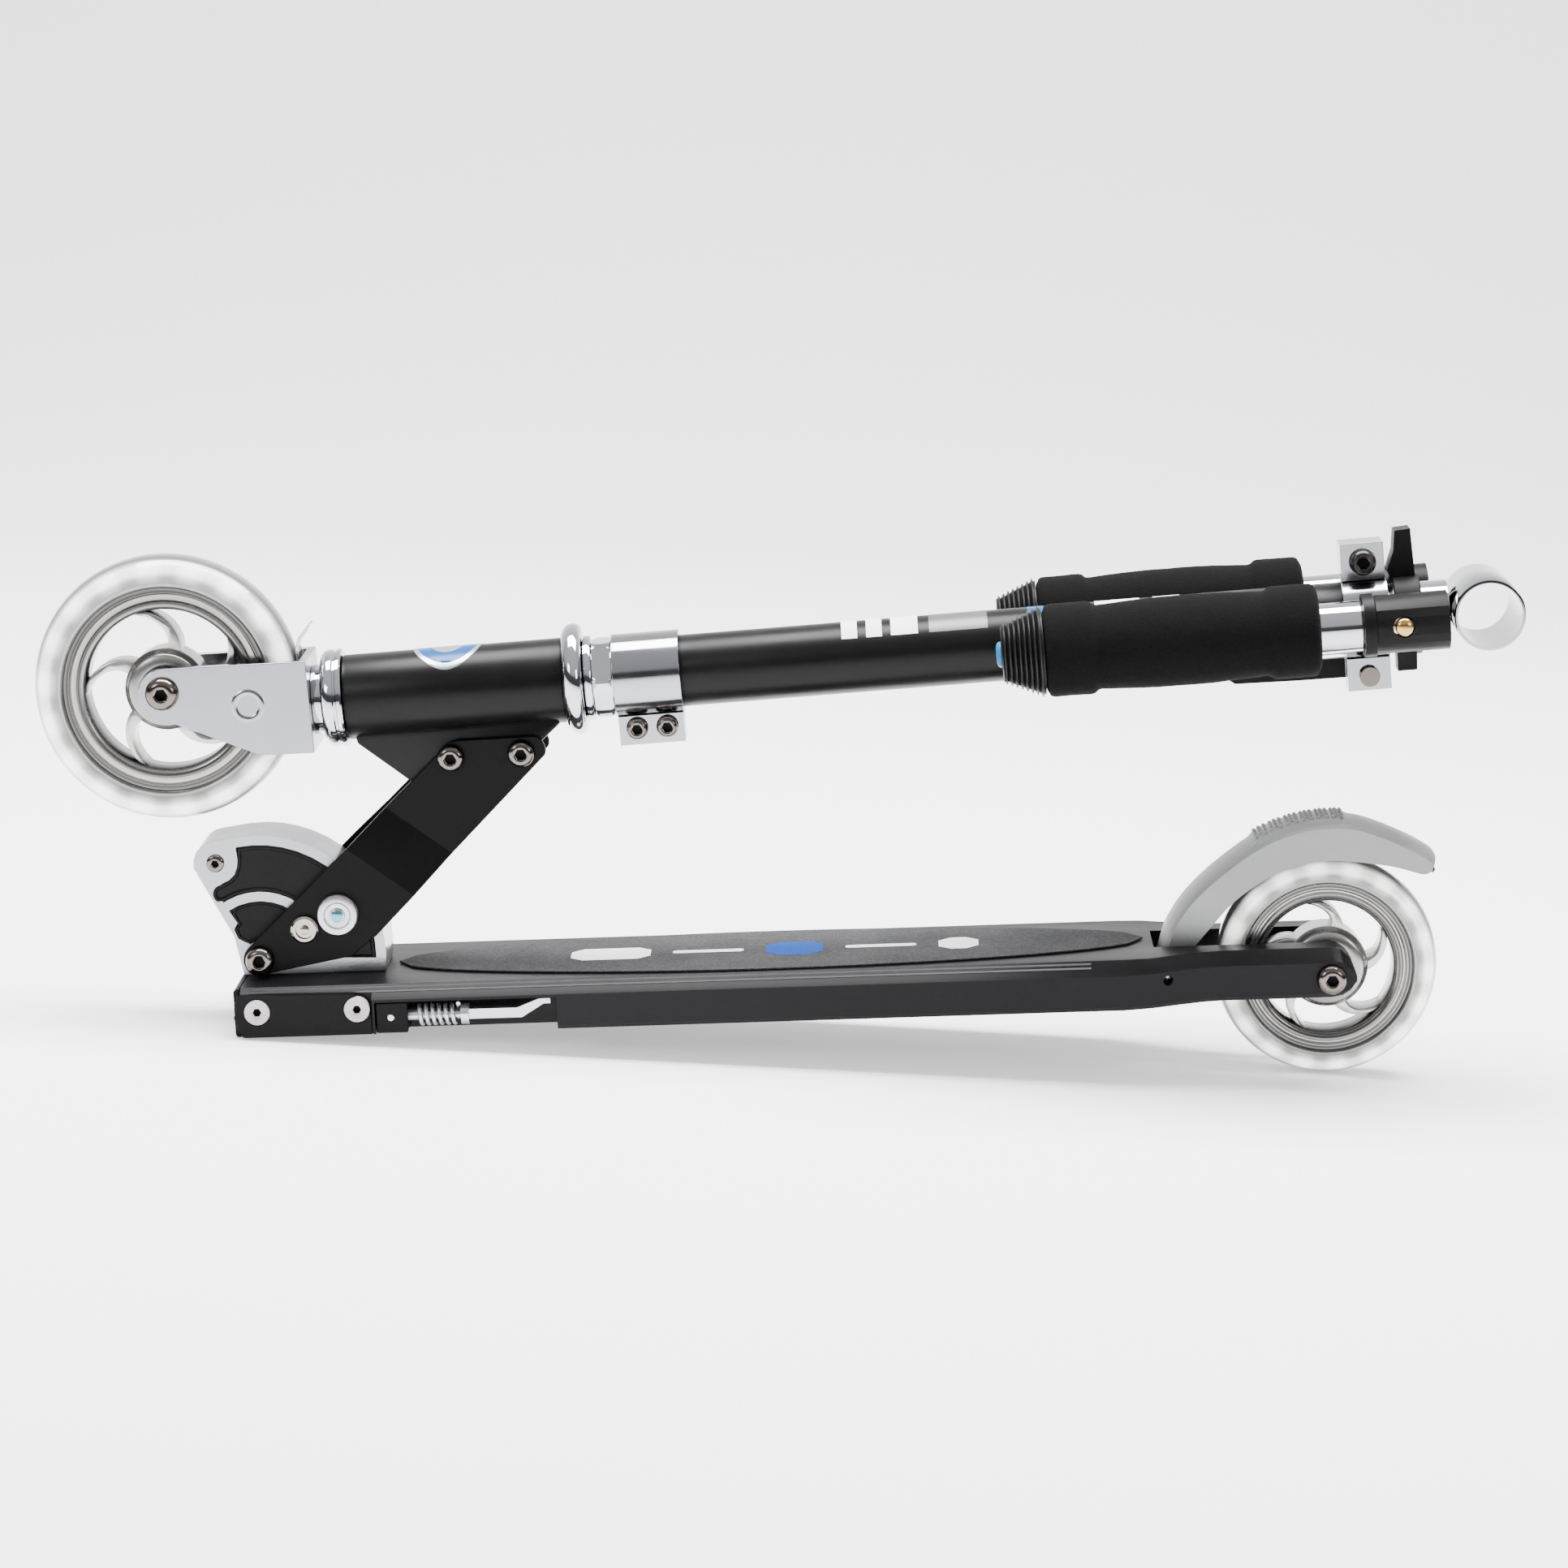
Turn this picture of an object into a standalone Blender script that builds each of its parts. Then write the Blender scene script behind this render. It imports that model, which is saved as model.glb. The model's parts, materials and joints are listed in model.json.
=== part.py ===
"""Folding kick scooter, folded for carrying: the deck stands on its front edge and its rear wheel.

Lengths are in millimetres until a mesh is finished, then in metres. The deck frame has its origin on the fold
pivot, X towards the rear along the deck, Y towards the scooter's right and Z out of the deck's top. The column
frame has X up the steering column, from the lower end of the head tube.
"""

import math

import bmesh
import bpy
from mathutils import Matrix, Vector

MM = 0.001

# Stance and main axes, in the deck frame
DECK_PITCH = 4.93
COLUMN_FOOT = (43.2, 114.6)
COLUMN_SLOPE = 2.65
GAP = 0.3

# Deck
DECK_FRONT = -7.0
DECK_END = 489.0
DECK_TOP = -8.2
DECK_EDGE_TOP = -13.0
DECK_BOTTOM = -30.0
DECK_HALF_WIDTH = 47.0
STAY_HALF_WIDTH = 34.0
SHOULDER = 40.0
WELL_FRONT = 400.0
WELL_HALF_WIDTH = 16.6

# Wheels and axles
REAR_AXLE = (477.8, -21.5)
FRONT_AXLE = (-79.5, 11.5)
FRONT_RADIUS = 60.0
REAR_RADIUS = 50.0
WHEEL_HALF_WIDTH = 12.0
HUB_RADIUS = 17.0
BEARING_RADIUS = 11.0
AXLE_RADIUS = 4.0

# Folding block and arms
PLATE_HALF_WIDTH = 15.5
BLOCK_RADIUS = 56.0
ARM_LOW_Y = 18.5
ARM_HIGH_Y = 9.4
ARM_THICK = 3.2
ARM_BEND = (0.605, 0.796, 64.5, 88.4)
ARM_BOLTS = ((89.3, 87.7), (120.8, 88.7))
LOCK_PIN = (36.1, 20.1)
STOP_NUT = (20.9, 13.7)

# Steering column, distances along its axis
HEAD_LENGTH = 98.0
HEAD_RADIUS = 19.0
STEERER_RADIUS = 13.8
TUBE_RADIUS = 16.0
INNER_RADIUS = 13.6
CROWN = -18.0
FORK_INNER = 17.0
LOWER_CLAMP = 120.3
UPPER_CLAMP = 445.0
TUBE_END = 464.5
INNER_START = 300.0
T_CENTRE = 507.9
T_RADIUS = 15.75
T_HALF_LENGTH = 25.0
HOLDER = 470.5

# Stowed handles
HANDLE_Y = 40.5
HANDLE_DROP = 2.5
BAR_RADIUS = 11.1
GRIP_START = 311.5
GRIP_END = 431.3
BAR_END = 483.0
SOCKET_RADIUS = 11.6
BUTTON = 467.5

# Brake and kickstand
BRAKE_PIN = (405.0, -18.0)
STAND_PIVOT = (60.0, -22.5)
STAND_Y = -40.5
SIDE_BOLTS = (0.7, 45.2)

FINISHES = {
    "black_paint": ((0.02, 0.02, 0.022), 0.45, 0.2),
    "black_anodised": ((0.045, 0.043, 0.048), 0.4, 0.8),
    "black_plastic": ((0.02, 0.02, 0.021), 0.5, 0.0),
    "grip_foam": ((0.015, 0.015, 0.016), 0.95, 0.0),
    "rubber": ((0.018, 0.018, 0.018), 0.8, 0.0),
    "blue_plastic": ((0.03, 0.35, 0.75), 0.4, 0.0),
    "sandpaper": ((0.06, 0.06, 0.065), 1.0, 0.0),
    "cast_aluminium": ((0.72, 0.73, 0.75), 0.4, 0.9),
    "silver_fender": ((0.45, 0.46, 0.47), 0.5, 0.4),
    "chrome": ((0.85, 0.86, 0.88), 0.12, 1.0),
    "bolt_steel": ((0.28, 0.26, 0.25), 0.25, 1.0),
    "zinc": ((0.7, 0.71, 0.73), 0.35, 1.0),
    "brass": ((0.75, 0.55, 0.25), 0.25, 1.0),
    "clear_tyre": ((0.86, 0.86, 0.84), 0.2, 0.0),
    "wheel_core": ((0.75, 0.74, 0.73), 0.25, 0.1),
}


# ---- making things -------------------------------------------------------------------------------------------


def clear_scene():
    for thing in list(bpy.data.objects):
        bpy.data.objects.remove(thing, do_unlink=True)


def finish(name):
    """The material of one finish, made once."""
    found = bpy.data.materials.get(name)
    if found:
        return found
    colour, rough, metal = FINISHES[name]
    made = bpy.data.materials.new(name)
    made.use_nodes = True
    shader = made.node_tree.nodes["Principled BSDF"]
    shader.inputs["Base Color"].default_value = (*colour, 1.0)
    shader.inputs["Roughness"].default_value = rough
    shader.inputs["Metallic"].default_value = metal
    return made


def axis_empty(name, parent, place=(0, 0, 0), pitch=0.0):
    """A frame or joint axis: pitch turns it nose up, in degrees."""
    empty = bpy.data.objects.new(name, None)
    empty.empty_display_size = 0.02
    empty.parent = parent
    empty.location = Vector(place) * MM
    empty.rotation_euler = (0.0, -math.radians(pitch), 0.0)
    bpy.context.scene.collection.objects.link(empty)
    return empty


def solid(name, bm, parent, slot, place=(0, 0, 0)):
    """Turns a closed bmesh in millimetres into an object in metres."""
    bmesh.ops.remove_doubles(bm, verts=bm.verts, dist=0.001)
    bmesh.ops.recalc_face_normals(bm, faces=bm.faces)
    bmesh.ops.scale(bm, vec=(MM, MM, MM), verts=bm.verts)
    mesh = bpy.data.meshes.new(name)
    bm.to_mesh(mesh)
    bm.free()
    mesh.shade_smooth()
    mesh.set_sharp_from_angle(angle=math.radians(35))
    made = bpy.data.objects.new(name, mesh)
    made.parent = parent
    made.location = Vector(place) * MM
    made.data.materials.append(finish(slot))
    bpy.context.scene.collection.objects.link(made)
    return made


def boolean(target, bm, operation):
    """Cuts a closed bmesh from a piece, or joins it on; both are in the frame of the piece's parent."""
    number = len(target.modifiers)
    tool = solid(f"{target.name}_tool_{number}", bm, target.parent, "zinc")
    tool.hide_render = True
    tool.display_type = "WIRE"
    step = target.modifiers.new(f"{operation.lower()}_{number}", "BOOLEAN")
    step.operation = operation
    step.solver = "EXACT"
    step.object = tool


def cut(target, bm):
    boolean(target, bm, "DIFFERENCE")


def join(target, bm):
    boolean(target, bm, "UNION")


def prism(outline, low, high):
    """An outline in X and Z, extruded along Y."""
    bm = bmesh.new()
    face = bm.faces.new([bm.verts.new((x, low, z)) for x, z in outline])
    grown = bmesh.ops.extrude_face_region(bm, geom=[face])["geom"]
    moved = [v for v in grown if isinstance(v, bmesh.types.BMVert)]
    bmesh.ops.translate(bm, vec=(0, high - low, 0), verts=moved)
    return bm


def slab(outline, low, high):
    """An outline in X and Y, extruded along Z."""
    bm = prism(outline, low, high)
    bmesh.ops.transform(bm, matrix=Matrix(((1, 0, 0, 0), (0, 0, 1, 0), (0, 1, 0, 0), (0, 0, 0, 1))), verts=bm.verts)
    return bm


def block(low, high, bevel=0.0):
    """A box between two corners, with an optional edge chamfer."""
    bm = bmesh.new()
    size = Vector(high) - Vector(low)
    middle = (Vector(high) + Vector(low)) / 2
    bmesh.ops.create_cube(bm, size=1.0, matrix=Matrix.Translation(middle) @ Matrix.Diagonal((*size, 1.0)))
    if bevel:
        bmesh.ops.bevel(bm, geom=bm.edges, offset=bevel, segments=1, profile=0.5, affect="EDGES", material=-1)
    return bm


def turned(profile, segments, axis="X", centre=(0, 0, 0)):
    """A closed profile of (distance along the axis, radius) turned about X or Y through a centre."""
    bm = bmesh.new()
    ring = [bm.verts.new((along, 0.0, radius)) for along, radius in profile]
    edges = [bm.edges.new((a, b)) for a, b in zip(ring, ring[1:])]
    if min(radius for _, radius in profile) > 0:
        edges.append(bm.edges.new((ring[-1], ring[0])))
    bmesh.ops.spin(
        bm,
        geom=ring + edges,
        cent=(0, 0, 0),
        axis=(1, 0, 0),
        angle=math.tau,
        steps=segments,
        use_merge=True,
        use_duplicate=False,
    )
    bmesh.ops.remove_doubles(bm, verts=bm.verts, dist=0.001)
    if axis == "Y":
        bmesh.ops.rotate(bm, matrix=Matrix.Rotation(math.pi / 2, 3, "Z"), verts=bm.verts)
    bmesh.ops.translate(bm, vec=centre, verts=bm.verts)
    return bm


def ring_profile(low, high, inner, outer, edge=0.6):
    """The section of a sleeve, with its outer edges broken."""
    return [
        (low, inner),
        (low, outer - edge),
        (low + edge, outer),
        (high - edge, outer),
        (high, outer - edge),
        (high, inner),
    ]


def flat_ring(half, inner, outer):
    return [(-half, inner), (-half, outer), (half, outer), (half, inner)]


def rod_profile(low, high, radius, edge=0.0):
    """The section of a solid bar, with its edges broken where it shows."""
    if not edge:
        return [(low, 0.0), (low, radius), (high, radius), (high, 0.0)]
    rim = [(low, radius - edge), (low + edge, radius), (high - edge, radius), (high, radius - edge)]
    return [(low, 0.0)] + rim + [(high, 0.0)]


def drill(x, z, radius, low=-60.0, high=60.0, segments=16):
    """A cutter along Y."""
    return turned(rod_profile(low, high, radius), segments, "Y", (x, 0, z))


def bore(low, high, radius, segments, centre=(0, 0, 0)):
    """A cutter along X, turned half a step so that its edges miss those of the rod it opens."""
    bm = turned(rod_profile(low, high, radius), segments)
    bmesh.ops.rotate(bm, matrix=Matrix.Rotation(math.pi / segments, 3, "X"), verts=bm.verts)
    bmesh.ops.translate(bm, vec=centre, verts=bm.verts)
    return bm


def bolt_profile(half, shank, head, height):
    """A through-bolt with a low domed head at both ends."""
    dome = [
        (half + height * math.sin(a), 0.45 * head + 0.55 * head * math.cos(a)) for a in (0.0, 0.8, math.pi / 2)
    ]
    near = [(-along, radius) for along, radius in reversed(dome)]
    ends = [(-half - height, 0.0)] + near
    return ends + [(-half, shank), (half, shank)] + dome + [(half + height, 0.0)]


def arc(radius, start, stop, count, centre=(0.0, 0.0)):
    """Points on an arc, angles in degrees from +X towards +Z."""
    turns = [math.radians(start + (stop - start) * i / (count - 1)) for i in range(count)]
    return [(centre[0] + radius * math.cos(t), centre[1] + radius * math.sin(t)) for t in turns]


# ---- deck ----------------------------------------------------------------------------------------------------


def deck_half_width(x):
    """Full width to the brake, then an S-curve in to the wheel stays."""
    t = min(max((x - 385.0) / 45.0, 0.0), 1.0)
    ease = t * t * (3 - 2 * t)
    return DECK_HALF_WIDTH + (STAY_HALF_WIDTH - DECK_HALF_WIDTH) * ease


def deck_section(x):
    """One cross-section: flat top, sloping shoulders and square sides, rounded away at the stay ends."""
    half = deck_half_width(x)
    t = min(max((x - REAR_AXLE[0]) / (DECK_END - REAR_AXLE[0]), 0.0), 0.985)
    shrink = math.sqrt(1 - t * t)
    flat = min(SHOULDER, half - 6)
    points = [
        (-half + 2, DECK_BOTTOM),
        (half - 2, DECK_BOTTOM),
        (half, DECK_BOTTOM + 2),
        (half, DECK_EDGE_TOP - 1),
        (half - 1, DECK_EDGE_TOP),
        (flat, DECK_TOP),
        (-flat, DECK_TOP),
        (-half + 1, DECK_EDGE_TOP),
        (-half, DECK_EDGE_TOP - 1),
        (-half, DECK_BOTTOM + 2),
    ]
    return [(y, REAR_AXLE[1] + (z - REAR_AXLE[1]) * shrink) for y, z in points]


def deck_body():
    stations = [DECK_FRONT, 385, 397, 409, 421, 430, REAR_AXLE[0], 482.5, 486.5, DECK_END]
    bm = bmesh.new()
    loops = [[bm.verts.new((x, y, z)) for y, z in deck_section(x)] for x in stations]
    for first, second in zip(loops, loops[1:]):
        for i in range(len(first)):
            j = (i + 1) % len(first)
            bm.faces.new((first[i], first[j], second[j], second[i]))
    bm.faces.new(loops[0])
    bm.faces.new(list(reversed(loops[-1])))
    return bm


def make_deck(frame):
    deck = solid("deck", deck_body(), frame, "black_anodised")
    cut(deck, block((WELL_FRONT, -WELL_HALF_WIDTH, -40), (500, WELL_HALF_WIDTH, 5)))
    for middle in (-20.5, 0.0, 20.5):
        cut(deck, block((-20, middle - 9.2, DECK_BOTTOM + 2.5), (392, middle + 9.2, DECK_TOP - 3)))
    cut(deck, block((53, -60, DECK_BOTTOM - 5), (134, -33, DECK_EDGE_TOP - 2.2)))
    for side in (-1, 1):
        cut(deck, block((-20, side * 55 - 11.7, -40), (51.9, side * 55 + 11.7, -4)))
    for x in SIDE_BOLTS:
        cut(deck, drill(x, -18, 2.5 + GAP, segments=12))
    cut(deck, drill(*REAR_AXLE, AXLE_RADIUS + GAP))
    cut(deck, drill(*BRAKE_PIN, 2.0 + GAP, segments=12))


def make_grip_tape(frame):
    """The leaf-shaped sheet of grip on the standing area."""
    start, length, half = 60.0, 336.0, 37.5
    upper = []
    for i in range(13):
        t = i / 12
        upper.append((start + length * t, half * math.sin(math.pi * t) ** 0.45))
    outline = upper + [(x, -y) for x, y in reversed(upper[1:-1])]
    solid("grip_tape", slab(outline, DECK_TOP + GAP, DECK_TOP + 1.1), frame, "sandpaper")


def make_front_end(frame):
    """The cap in the deck's mouth, and the two side plates with their flat screws."""
    outline = [(-10.0, DECK_BOTTOM + 1), (-10.0, DECK_TOP - 1), (-9, DECK_TOP), (-7.3, DECK_TOP), (-7.3, DECK_BOTTOM)]
    outline.append((-9, DECK_BOTTOM))
    solid("deck_front_cap", prism(outline, -42.7, 42.7), frame, "black_plastic")
    scallop = [
        (-5.5, DECK_BOTTOM + 0.5),
        (51.5, DECK_BOTTOM + 0.5),
        (51.5, -16.0),
        (44.0, -11.2),
        (-8.0, -10.2),
        (-8.0, -12.5),
        (-9.3, -14.0),
        (-8.2, -17.0),
        (-9.8, -20.0),
        (-8.5, -24.5),
    ]
    for side, word in ((-1, "left"), (1, "right")):
        low, high = sorted((side * 43.6, side * 47.0))
        plate = solid(f"side_plate_{word}", prism(scallop, low, high), frame, "black_paint")
        for x in SIDE_BOLTS:
            cut(plate, drill(x, -18, 6.1, *sorted((side * 42, side * 50)), 14))
    near = [(-47.2, 0), (-47.2, 5.75), (-43.9, 5.75), (-43.9, 2.5)]
    far = [(-along, radius) for along, radius in reversed(near)]
    for x, end in zip(SIDE_BOLTS, ("front", "rear")):
        solid(f"side_bolt_{end}", turned(near + far, 14, "Y"), frame, "cast_aluminium", (x, 0, -18))


# ---- folding block -------------------------------------------------------------------------------------------


def make_fold_block(frame):
    """The cast block: a round-backed body with a boss at its front, and two black inserts through it."""
    base = DECK_TOP + GAP
    right = math.degrees(math.asin(base / BLOCK_RADIUS))
    outline = arc(BLOCK_RADIUS, right, 96, 15)
    outline += arc(10.5, 92, 190, 6, (-18.0, 43.5))
    outline += [(-12.0, 10.0), (-8.5, base)]
    fold_block = solid("fold_block", prism(outline, -PLATE_HALF_WIDTH, PLATE_HALF_WIDTH), frame, "cast_aluminium")
    upper = arc(51.5, -2, 100, 14) + [(-8.2, 42.0), (-10.5, 36.5), (-16.0, 34.5), (-18.6, 30.6), (-15.8, 25.6)]
    upper += arc(30.2, 118, -2, 14)
    lower = arc(25.8, -2, 122, 12) + [(-10.2, 16.2), (-11.8, 13.0), (-10.2, 9.0), (-7.6, 7.4)]
    lower += arc(7.9, 128, -2, 8)
    for word, shape in (("upper", upper), ("lower", lower)):
        cut(fold_block, prism(shape, -30, 30))
        insert = solid(f"fold_insert_{word}", prism(shrunk(shape, GAP), -16.4, 16.4), frame, "black_plastic")
        insert.location = (0, 0, 0)
    cut(fold_block, drill(0, 0, AXLE_RADIUS + GAP))
    cut(fold_block, drill(-18.5, 43.8, 2.5 + GAP, segments=12))
    rivet = [(-17.3, 0), (-17.3, 3), (-15.8, 4), (-15.8, 2.5), (15.8, 2.5), (15.8, 4), (17.3, 3), (17.3, 0)]
    solid("fold_rivet", turned(rivet, 12, "Y"), frame, "bolt_steel", (-18.5, 0, 43.8))
    pivot = bolt_profile(22.2, AXLE_RADIUS, 6.5, 4.2)
    solid("pivot_bolt", turned(pivot, 14, "Y"), frame, "bolt_steel")


def shrunk(outline, gap):
    """The outline moved inwards by a gap, point by point along the bisector of its two edges."""
    count = len(outline)
    area = sum(
        outline[i][0] * outline[(i + 1) % count][1] - outline[(i + 1) % count][0] * outline[i][1]
        for i in range(count)
    )
    turn = 1 if area > 0 else -1
    moved = []
    for i in range(count):
        here = Vector(outline[i])
        before = (here - Vector(outline[i - 1])).normalized()
        after = (Vector(outline[(i + 1) % count]) - here).normalized()
        inward = Vector((-(before.y + after.y), before.x + after.x)).normalized() * turn
        across = max(inward.dot(Vector((-after.y, after.x)) * turn), 0.4)
        moved.append(tuple(here + inward * gap / across))
    return moved


def arm_offset(x, z):
    """How far the joggled arm stands from the middle at a point: wide at the block, narrow at the gusset."""
    across_x, across_z, start, stop = ARM_BEND
    along = x * across_x + z * across_z
    t = min(max((along - start) / (stop - start), 0.0), 1.0)
    return ARM_LOW_Y + (ARM_HIGH_Y - ARM_LOW_Y) * t


def arm_plate(side):
    outline = arc(7.6, 137, 308, 9)
    outline += [(41.4, 0.6), (53.3, 11.6), (131.6, 87.8), (131.0, 92.5), (127.7, 96.0), (91.5, 95.3), (87.5, 93.5)]
    bm = bmesh.new()
    bm.faces.new([bm.verts.new((x, 0, z)) for x, z in outline])
    across_x, across_z, start, stop = ARM_BEND
    for along in (start, stop):
        place = (across_x * along, 0, across_z * along)
        everything = list(bm.verts) + list(bm.edges) + list(bm.faces)
        bmesh.ops.bisect_plane(bm, geom=everything, dist=0.001, plane_co=place, plane_no=(across_x, 0, across_z))
    for vert in bm.verts:
        vert.co.y = side * arm_offset(vert.co.x, vert.co.z)
    grown = bmesh.ops.extrude_face_region(bm, geom=list(bm.faces))["geom"]
    moved = [v for v in grown if isinstance(v, bmesh.types.BMVert)]
    bmesh.ops.translate(bm, vec=(0, side * ARM_THICK, 0), verts=moved)
    return bm


def make_arms(fold):
    """Two joggled plates from the pivot up to the head tube's gusset, with the lock and stop hardware."""
    for side, word in ((-1, "left"), (1, "right")):
        arm = solid(f"arm_plate_{word}", arm_plate(side), fold, "black_paint")
        cut(arm, drill(0, 0, AXLE_RADIUS + GAP))
        for x, z in ARM_BOLTS:
            cut(arm, drill(x, z, 3.3, segments=12))
        cut(arm, drill(*LOCK_PIN, 3.3, segments=12))
    nut = [(-22.0, 0), (-22.0, 6.2), (-24.0, 6.2), (-24.8, 5.0), (-24.8, 0)]
    solid("stop_nut", turned(nut, 14, "Y"), fold, "bolt_steel", (STOP_NUT[0], 0, STOP_NUT[1]))
    for number, (x, z) in enumerate(ARM_BOLTS, 1):
        bolt = bolt_profile(ARM_HIGH_Y + ARM_THICK + GAP, 3.0, 6.2, 4.0)
        solid(f"arm_bolt_{number}", turned(bolt, 14, "Y"), fold, "bolt_steel", (x, 0, z))


def make_lock_knobs(fold):
    """A spring-loaded knurled knob on each arm; its tip presses on the block's insert."""
    for side, word in ((-1, "left"), (1, "right")):
        knob_axis = axis_empty(f"lock_{word}_axis", fold, (LOCK_PIN[0], 0, LOCK_PIN[1]))
        shape = [(16.7, 0), (16.7, 3.0), (22.0, 3.0), (22.0, 9.25), (26.1, 9.0), (26.1, 6.4), (25.0, 5.6), (25.0, 0)]
        knob = turned([(side * along, radius) for along, radius in shape], 18, "Y")
        solid(f"lock_knob_{word}", knob, knob_axis, "cast_aluminium")


# ---- head, fork and column -----------------------------------------------------------------------------------


def make_head(fold, column):
    """Head tube with its gusset, the bearing cups and the round badge on top."""
    tube = solid("head_tube", turned(rod_profile(0, HEAD_LENGTH, HEAD_RADIUS, 0.5), 28), column, "black_paint")
    gusset = prism([(46, 99), (69.4, 77.8), (82, 67.5), (99, 74), (123, 87), (141, 103)], -9.1, 9.1)
    turn = column.matrix_local.to_3x3().inverted()
    bmesh.ops.translate(gusset, vec=(-COLUMN_FOOT[0], 0, -COLUMN_FOOT[1]), verts=gusset.verts)
    bmesh.ops.rotate(gusset, matrix=turn, verts=gusset.verts)
    join(tube, gusset)
    cut(tube, bore(-5, HEAD_LENGTH + 5, 16.2, 28))
    for x, z in ARM_BOLTS:
        place = turn @ Vector((x - COLUMN_FOOT[0], 0, z - COLUMN_FOOT[1]))
        cut(tube, drill(place.x, place.z, 3.3, segments=12))
    low = [(-9.8, 17), (-9.8, 20.5), (-8, 22), (-GAP, 22), (-GAP, 17)]
    solid("lower_cup", turned(low, 24), column, "chrome")
    high = [(98.3, 17), (98.3, 23), (101, 25), (105, 25), (107, 22.5), (107, 17)]
    solid("upper_cup", turned(high, 24), column, "chrome")


def fork_outline():
    axle_x, axle_z = FRONT_AXLE
    points = arc(11.0, 95, 245, 9, (axle_x, axle_z))
    points += [(-39.0, -19.6), (CROWN + 3.4, -20.6), (CROWN + 3.4, 21.0), (-60.0, 22.2)]
    return points


def make_fork(steer):
    """The bent plate fork with its steerer, the crown race and the headset nuts."""
    fork = solid("fork", prism(fork_outline(), -20.6, 20.6), steer, "cast_aluminium")
    cut(fork, block((-140, -FORK_INNER, -80), (CROWN, FORK_INNER, 80)))
    cut(fork, drill(*FRONT_AXLE, AXLE_RADIUS + GAP))
    race = CROWN + 3.7
    steerer = [(race, 11.5), (race, 15.6), (-10.1, 15.6), (-10.1, STEERER_RADIUS)]
    steerer += [(151.0, STEERER_RADIUS), (151.0, 11.5)]
    solid("steerer_tube", turned(steerer, 20), steer, "chrome")
    solid("lock_ring", turned(ring_profile(107.3, 111.1, 14.2, 19.0, 1.0), 20), steer, "chrome")
    nut = solid("headset_nut", turned(rod_profile(111.5, 119.7, 19.0, 1.2), 6), steer, "chrome")
    cut(nut, bore(105, 125, 14.2, 20))
    bolt = turned(bolt_profile(20.9, AXLE_RADIUS, 7.5, 4.4), 14, "Y")
    solid("front_axle_bolt", bolt, steer, "bolt_steel", (FRONT_AXLE[0], 0, FRONT_AXLE[1]))


def split_clamp(name, steer, start, length, inner, ears, screws):
    """A clamp collar with ears, each (side along Z, reach), and a slit through the lower ones."""
    outer = inner + 2.4
    collar = solid(name, turned(rod_profile(start, start + length, outer), 24), steer, "chrome")
    for toward, reach in ears:
        low, high = sorted((toward * (inner + 1.2), toward * reach))
        join(collar, block((start + 0.4, -8.0, low), (start + length - 0.4, 8.0, high)))
    cut(collar, bore(start - 5, start + length + 5, inner, 24))
    cut(collar, block((start - 5, -1.1, -60), (start + length + 5, 1.1, 3 - inner)))
    for x, z, radius in screws:
        cut(collar, drill(x, z, radius + GAP, segments=12))
    return collar


def make_column(steer):
    """The outer column tube and its two clamps."""
    tube = ring_profile(123.0, TUBE_END, STEERER_RADIUS + GAP, TUBE_RADIUS, 0.4)
    solid("column_tube", turned(tube, 24), steer, "black_paint")
    low_screws = ((LOWER_CLAMP + 8.5, -23.0), (LOWER_CLAMP + 22.0, -23.0))
    split_clamp(
        "lower_clamp",
        steer,
        LOWER_CLAMP,
        30.0,
        TUBE_RADIUS + GAP,
        ((-1, 30.5),),
        [(x, z, 2.5) for x, z in low_screws],
    )
    for number, (x, z) in enumerate(low_screws, 1):
        screw = turned(bolt_profile(8.4, 2.5, 5.0, 4.2), 12, "Y")
        solid(f"lower_clamp_screw_{number}", screw, steer, "bolt_steel", (x, 0, z))
    middle = UPPER_CLAMP + 10.0
    split_clamp(
        "upper_clamp",
        steer,
        UPPER_CLAMP,
        20.0,
        TUBE_RADIUS + GAP,
        ((1, 34.0), (-1, 32.0)),
        [(middle, 25.5, 3.0), (middle, -25.5, 2.5)],
    )
    bolt = turned(bolt_profile(8.4, 3.0, 6.0, 4.6), 14, "Y")
    solid("upper_clamp_bolt", bolt, steer, "bolt_steel", (middle, 0, 25.5))
    pin = [(-11.5, 0), (-11.5, 4.6), (-8.4, 4.6), (-8.4, 2.5), (11.0, 2.5), (11.0, 5.2)]
    pin += [(11.6, 6.0), (13.6, 6.0), (14.2, 5.2), (14.2, 0)]
    solid("quick_release_pin", turned(pin, 12, "Y"), steer, "bolt_steel", (middle, 0, -25.5))


def make_quick_lever(steer):
    """The column's quick-release lever: it lies along the column and swings out about its cam."""
    hinge = axis_empty("lever_axis", steer, (UPPER_CLAMP + 10.0, 20.0, -25.5))
    cam = prism(arc(5.3, 0, 345, 24), -4.9, 4.9)
    bmesh.ops.rotate(cam, matrix=Matrix.Rotation(math.pi / 2, 3, "X"), verts=cam.verts)
    lever = solid("quick_release_lever", cam, hinge, "black_plastic")
    blade = [(-1.0, -4.5), (-1.0, 4.5), (-30, 4.3), (-58, 3.6), (-61, 1.5)]
    blade += [(-61, -1.5), (-58, -3.6), (-30, -4.3)]
    join(lever, prism(blade, -2.6, 1.2))


# ---- wheels --------------------------------------------------------------------------------------------------


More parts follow.
